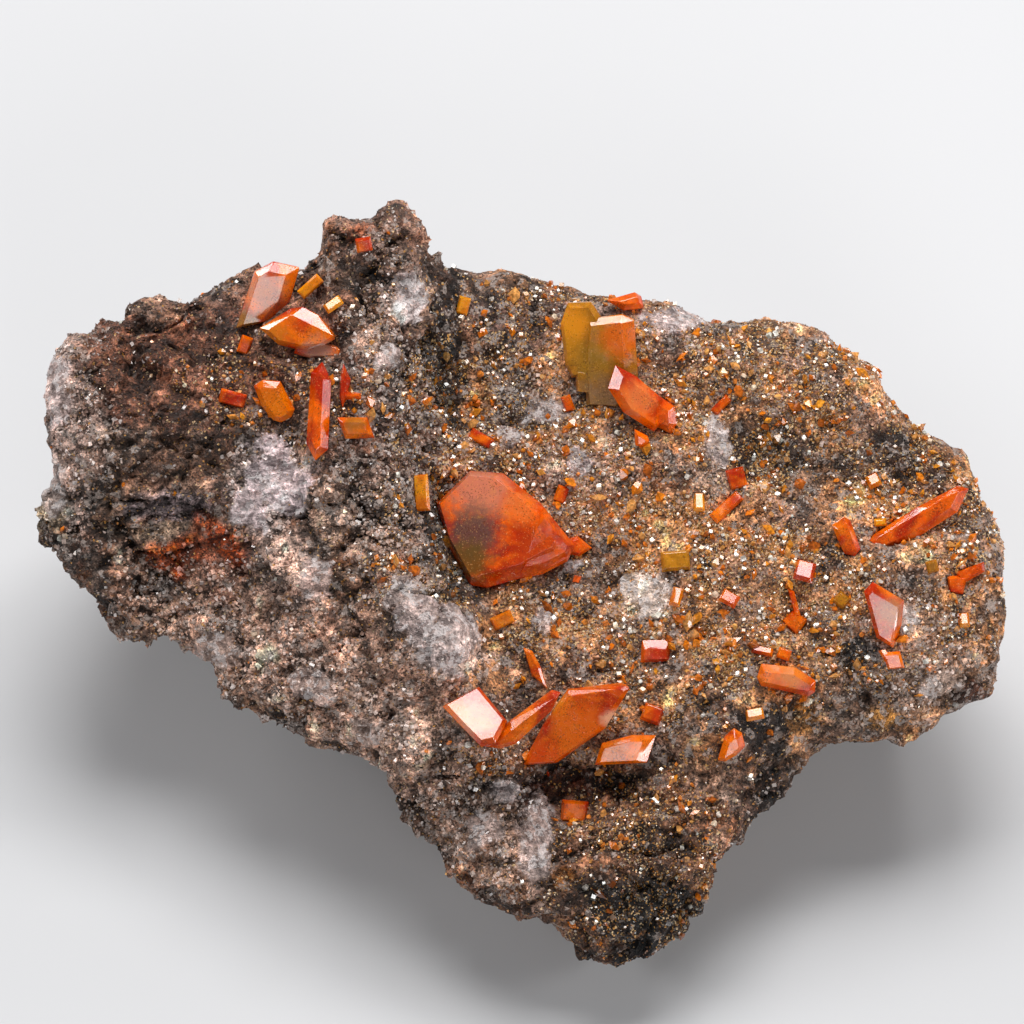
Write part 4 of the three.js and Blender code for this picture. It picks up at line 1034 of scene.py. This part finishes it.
class WULFENITE_OT_small_ones(bpy.types.Operator):
    """Set the small crystals that have places of their own"""
    bl_idname = "wulfenite.small_ones"
    bl_label = "Small Ones"

    def execute(self, context):
        rng = np.random.default_rng(106)
        tree = BVHTree.FromObject(bpy.data.objects["rock"], context.evaluated_depsgraph_get())
        shapes = {"blade": BLADE, "square": SQUARE, "white": SQUARE}
        for kind, chosen in SMALL_ONES.items():
            places, lengths, widths, angles, tints = zip(*chosen)
            spots = np.array([landed(tree, place) for place in places]) / MM
            thickness = [0.45 * width + 0.15 for width in widths]
            sizes = np.array([lengths, widths, thickness]).T
            turns = np.array([self.turned(rng, angle, kind == "white") for angle in angles])
            name = f"small_{kind}s"
            mesh = grain_mesh(name, shapes[kind], spots, turns, sizes, np.array(tints))
            material = grain_material(name, gloss=0.1, clear=0.15, glow=0.6)
            add_piece(name, mesh, "wulfenite_orange", material)
        return {"FINISHED"}

    def turned(self, rng, turn, level):
        """A rotation matrix that lays a crystal on the face, or level where it flashes."""
        out = Vector((0.0, 0.0, 1.0)) if level else Vector(FACE_AXES[2]) + Vector(rng.normal(0.0, 0.25, 3))
        out.normalize()
        angle = math.radians(turn)
        along = Vector(FACE_AXES[0]) * math.cos(angle) + Vector(FACE_AXES[1]) * math.sin(angle)
        along = (along - out * along.dot(out)).normalized()
        return np.array([along, out.cross(along), out]).T


# Zones inside single crystals, and a painted reflection and a painted highlight on their faces, by node:
# point on the face, radius, colour and strength.
ZONES = {
    "center_plate": [
        # Painted reflection: a pinkish haze on the plate's upper left.
        ((-4.0, 2.8), 4.6, (0.78, 0.26, 0.15), 0.85),
        ((2.6, -5.4), 3.8, (0.52, 0.035, 0.002), 0.85),
        ((-4.8, -2.6), 4.2, (0.11, 0.075, 0.06), 0.85),
        ((-5.4, -6.2), 3.2, (0.15, 0.08, 0.01), 0.85),
        ((1.0, 0.8), 2.6, (1.0, 0.22, 0.04), 0.7),
    ],
    "tall_tablet": [
        ((-30.6, 27.6), 3.0, (0.52, 0.22, 0.12), 0.7),
        ((-33.4, 23.4), 2.4, (0.34, 0.2, 0.05), 0.8),
    ],
    "back_plate": [
        ((10.6, 18.6), 3.4, (0.44, 0.23, 0.02), 0.7),
        ((11.2, 14.6), 3.2, (0.3, 0.17, 0.07), 0.85),
        ((14.0, 22.0), 3.6, (0.9, 0.17, 0.006), 0.95),
        ((7.6, 23.6), 2.6, (1.0, 0.36, 0.01), 0.9),
    ],
    "front_plate": [
        ((8.4, -27.0), 3.8, (1.0, 0.17, 0.001), 0.9),
        ((6.0, -23.2), 2.2, (0.85, 0.3, 0.003), 0.75),
        ((3.8, -31.2), 3.2, (1.0, 0.1, 0.0), 0.8),
        # Painted highlight: a pale strip on the right bevel.
        ((12.2, -25.6), 1.5, (1.0, 0.62, 0.4), 0.75),
    ],
    "front_pair": [((-4.5, -25.5), 2.8, (0.86, 0.5, 0.3), 0.5)],
    "oval_plate": [((-30.0, 14.0), 3.2, (1.0, 0.24, 0.0), 0.75)],
    "red_pair": [((15.6, 14.2), 2.6, (1.0, 0.26, 0.06), 0.7)],
    "shoulder_group": [
        ((-30.0, 22.0), 2.4, (0.74, 0.24, 0.01), 0.7),
        ((-24.2, 20.0), 2.4, (0.5, 0.3, 0.24), 0.8),
    ],
    "flat_bar": [((-19.5, 11.2), 1.6, (0.42, 0.16, 0.01), 0.7)],
    "standing_plate": [((47.2, -12.4), 2.4, (0.5, 0.26, 0.12), 0.6)],
    "front_wedge": [((12.5, -29.5), 2.2, (0.62, 0.14, 0.004), 0.7)],
    "lower_slab": [((35.0, -20.0), 2.4, (0.8, 0.26, 0.03), 0.6)],
}


def wulfenite_material(name, body, deep, zones):
    """Resin-bright wulfenite: cloudy and zoned inside, glassy outside, with growth terraces. Some crystals'
    zones are a painted highlight and a painted reflection.
    """
    sheet = Sheet(name)
    place = sheet.place()
    cloud = sheet.noise(190.0, detail=4.0, roughness=0.55, distortion=0.8)
    base = sheet.mix(sheet.range(cloud, 0.36, 0.62), colour(body), colour(deep))
    ragged = sheet.noise(900.0, detail=3.0, roughness=0.65)
    base = sheet.mix(1.0, base, sheet.grey(sheet.range(ragged, 0.36, 0.64, 0.84, 1.14)), "MULTIPLY")
    # Most zones are the crystal's own colour; two are a painted reflection and a painted highlight.
    for at, radius, tone, strength in zones:
        reach = sheet.node("ShaderNodeVectorMath", {"operation": "DISTANCE"}, {0: place, 1: at}, output=1)
        cover = sheet.range(reach * (1.0 / radius) + ragged * 0.9 - 0.45, 1.2, 0.35)
        base = sheet.mix(cover * strength, base, colour(tone))
    dust = sheet.noise(5200.0, detail=1.0)
    fleck = sheet.range(dust + sheet.noise(400.0, detail=1.0) * 0.35, 0.8, 0.88)
    base = sheet.mix(fleck * 0.6, base, (0.12, 0.035, 0.01, 1.0))
    bright = sheet.range(dust, 0.36, 0.3)
    base = sheet.mix(bright * 0.35, base, (1.0, 0.5, 0.14, 1.0))
    veil = sheet.range(sheet.noise(520.0, detail=4.0, roughness=0.75), 0.56, 0.66)
    base = sheet.mix(veil * 0.16, base, (1.0, 0.34, 0.02, 1.0))
    growth = sheet.noise(330.0, detail=2.0, distortion=0.4)
    steps = 14.0
    terraces = sheet.node("ShaderNodeMath", {"operation": "FLOOR"}, {0: growth * steps}) * (1.0 / steps)
    height = terraces * 1.2 + dust * 0.12 + ragged * 0.1
    return sheet.finish({
        "Base Color": base,
        "Roughness": sheet.range(sheet.noise(700.0, detail=2.0), 0.35, 0.65, 0.04, 0.16),
        "IOR": 1.7,
        "Transmission Weight": 0.1,
        "Subsurface Weight": 0.25,
        "Subsurface Radius": (1.0, 0.3, 0.06),
        "Subsurface Scale": 0.001,
        "Normal": sheet.bump(height, 0.35, 0.00016),
    })


class WULFENITE_OT_crystals(bpy.types.Operator):
    """Finish the wulfenite crystals"""
    bl_idname = "wulfenite.crystals"
    bl_label = "Crystals"

    def execute(self, context):
        looks = context.scene.wulfenite_crystals
        tints = {
            "wulfenite_orange": (looks.orange, (0.58, 0.03, 0.0)),
            "wulfenite_red": (looks.red, (0.52, 0.02, 0.0)),
            "wulfenite_amber": (looks.amber, (0.72, 0.15, 0.004)),
            "wulfenite_olive": (looks.olive, (0.4, 0.15, 0.006)),
        }
        plain = {slot: wulfenite_material(slot, *tint, []) for slot, tint in tints.items()}
        for part in frame["record"]["subparts"]:
            slot, node = part["material_slot"], part["node"]
            if slot not in tints:
                continue
            crystal = frame["nodes"][node]
            zones = self.zones_of(node)
            material = wulfenite_material(node, *tints[slot], zones) if zones else plain[slot]
            crystal.material_slots[0].material = material
            self.wear(crystal, looks.edge)
        return {"FINISHED"}

    def zones_of(self, node):
        """The zones of one crystal, each about a point of its front face."""
        tree = BVHTree.FromObject(frame["nodes"][node], bpy.context.evaluated_depsgraph_get())
        low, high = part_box(node)
        depth = on_face(np.array((low + high) / 2) / MM)[2]
        zones = []
        for at, radius, tone, strength in ZONES.get(node, ()):
            inside = FACE_ORIGIN + np.array([*at, depth]) @ FACE_AXES
            point = landed(tree, at) or tree.find_nearest(Vector(inside * MM))[0]
            zones.append((tuple(point), radius * MM, tone, strength))
        return zones

    def wear(self, crystal, width):
        """Softens the crystal's edges a little."""
        add_weld(crystal)
        edge = crystal.modifiers.new("worn_edge", "BEVEL")
        edge.width = width
        edge.segments = 1
        edge.limit_method = "ANGLE"
        edge.angle_limit = math.radians(18.0)


# Half the floor's width, and the soft boxes' distance from the rock, in metres.
FLOOR_HALF = 2.0
BOX_AWAY = 0.75


class WULFENITE_OT_stage(bpy.types.Operator):
    """Set the floor, the lights and the camera"""
    bl_idname = "wulfenite.stage"
    bl_label = "Stage"

    def execute(self, context):
        look = context.scene.wulfenite_stage
        self.add_floor(look)
        self.add_room(look)
        centre = Vector(FACE_ORIGIN) * MM
        for name, towards, size, power in (
            ("top_box", (0.0, 0.46, 0.89), 0.42, look.key),
            ("left_box", (-0.93, 0.06, 0.36), 0.25, look.side),
            ("right_box", (0.95, 0.08, 0.28), 0.25, look.side),
            ("front_box", (0.2, -0.83, 0.52), 0.3, look.front),
            ("top_right_box", (0.42, 0.45, 0.79), 0.16, look.spark),
            ("front_right_box", (0.77, -0.63, 0.1), 0.16, look.spark),
            ("back_left_box", (-0.58, 0.78, 0.25), 0.16, look.spark),
        ):
            self.add_box(name, centre, Vector(towards).normalized(), size, power)
        self.add_camera(look, centre)
        context.scene.view_settings.view_transform = "Standard"
        return {"FINISHED"}

    def add_floor(self, look):
        corners = [(x * FLOOR_HALF, y * FLOOR_HALF, 0.0) for x, y in ((-1, -1), (1, -1), (1, 1), (-1, 1))]
        mesh = bpy.data.meshes.new("floor")
        mesh.from_pydata(corners, [], [(0, 1, 2, 3)])
        floor = linked("floor", mesh)
        sheet = Sheet("floor")
        shade = sheet.mix(sheet.noise(40.0, detail=6.0) * 0.06, colour(look.floor), (0.5, 0.5, 0.5, 1.0))
        mesh.materials.append(sheet.finish({"Base Color": shade, "Roughness": 0.55}))

    def add_room(self, look):
        world = bpy.data.worlds.new("room")
        world.use_nodes = True
        background = world.node_tree.nodes["Background"]
        background.inputs["Color"].default_value = (0.9, 0.93, 1.0, 1.0)
        background.inputs["Strength"].default_value = look.room
        bpy.context.scene.world = world

    def add_box(self, name, centre, towards, size, power):
        light = bpy.data.lights.new(name, "AREA")
        light.shape = "SQUARE"
        light.size = size
        light.energy = power
        box = linked(name, light)
        box.location = centre + towards * BOX_AWAY
        box.rotation_euler = towards.to_track_quat("Z", "Y").to_euler()

    def add_camera(self, look, centre):
        data = bpy.data.cameras.new("camera")
        data.sensor_width = 36.0
        data.lens = data.sensor_width * look.reach / look.view_width
        camera = linked("camera", data)
        back = Vector(FACE_AXES[2])
        camera.location = centre + back * look.reach
        camera.rotation_euler = back.to_track_quat("Z", "Y").to_euler()
        bpy.context.scene.camera = camera


class WULFENITE_PT_panel(bpy.types.Panel):
    """Lists the specimen's pieces"""
    bl_idname = "WULFENITE_PT_panel"
    bl_label = "Wulfenite"
    bl_space_type = "VIEW_3D"
    bl_region_type = "UI"
    bl_category = "Wulfenite"

    def draw(self, context):
        for operator in PIECES:
            self.layout.operator(operator.bl_idname)
        for _, name in SETTINGS:
            group = getattr(context.scene, name)
            box = self.layout.box()
            for key in group.__annotations__:
                box.prop(group, key)


SETTINGS = (
    (RockSettings, "wulfenite_rock"),
    (GrainSettings, "wulfenite_grains"),
    (CrystalSettings, "wulfenite_crystals"),
    (StageSettings, "wulfenite_stage"),
)
PIECES = (
    WULFENITE_OT_rock,
    WULFENITE_OT_druse,
    WULFENITE_OT_small_ones,
    WULFENITE_OT_crystals,
    WULFENITE_OT_stage,
)


def register():
    for settings, name in SETTINGS:
        bpy.utils.register_class(settings)
        setattr(bpy.types.Scene, name, PointerProperty(type=settings))
    for cls in (*PIECES, WULFENITE_PT_panel):
        bpy.utils.register_class(cls)


def unregister():
    for cls in reversed((*PIECES, WULFENITE_PT_panel)):
        bpy.utils.unregister_class(cls)
    for settings, name in reversed(SETTINGS):
        delattr(bpy.types.Scene, name)
        bpy.utils.unregister_class(settings)


def main():
    register()
    for operator in PIECES:
        group, name = operator.bl_idname.split(".")
        getattr(getattr(bpy.ops, group), name)()


if __name__ == "__main__":
    main()
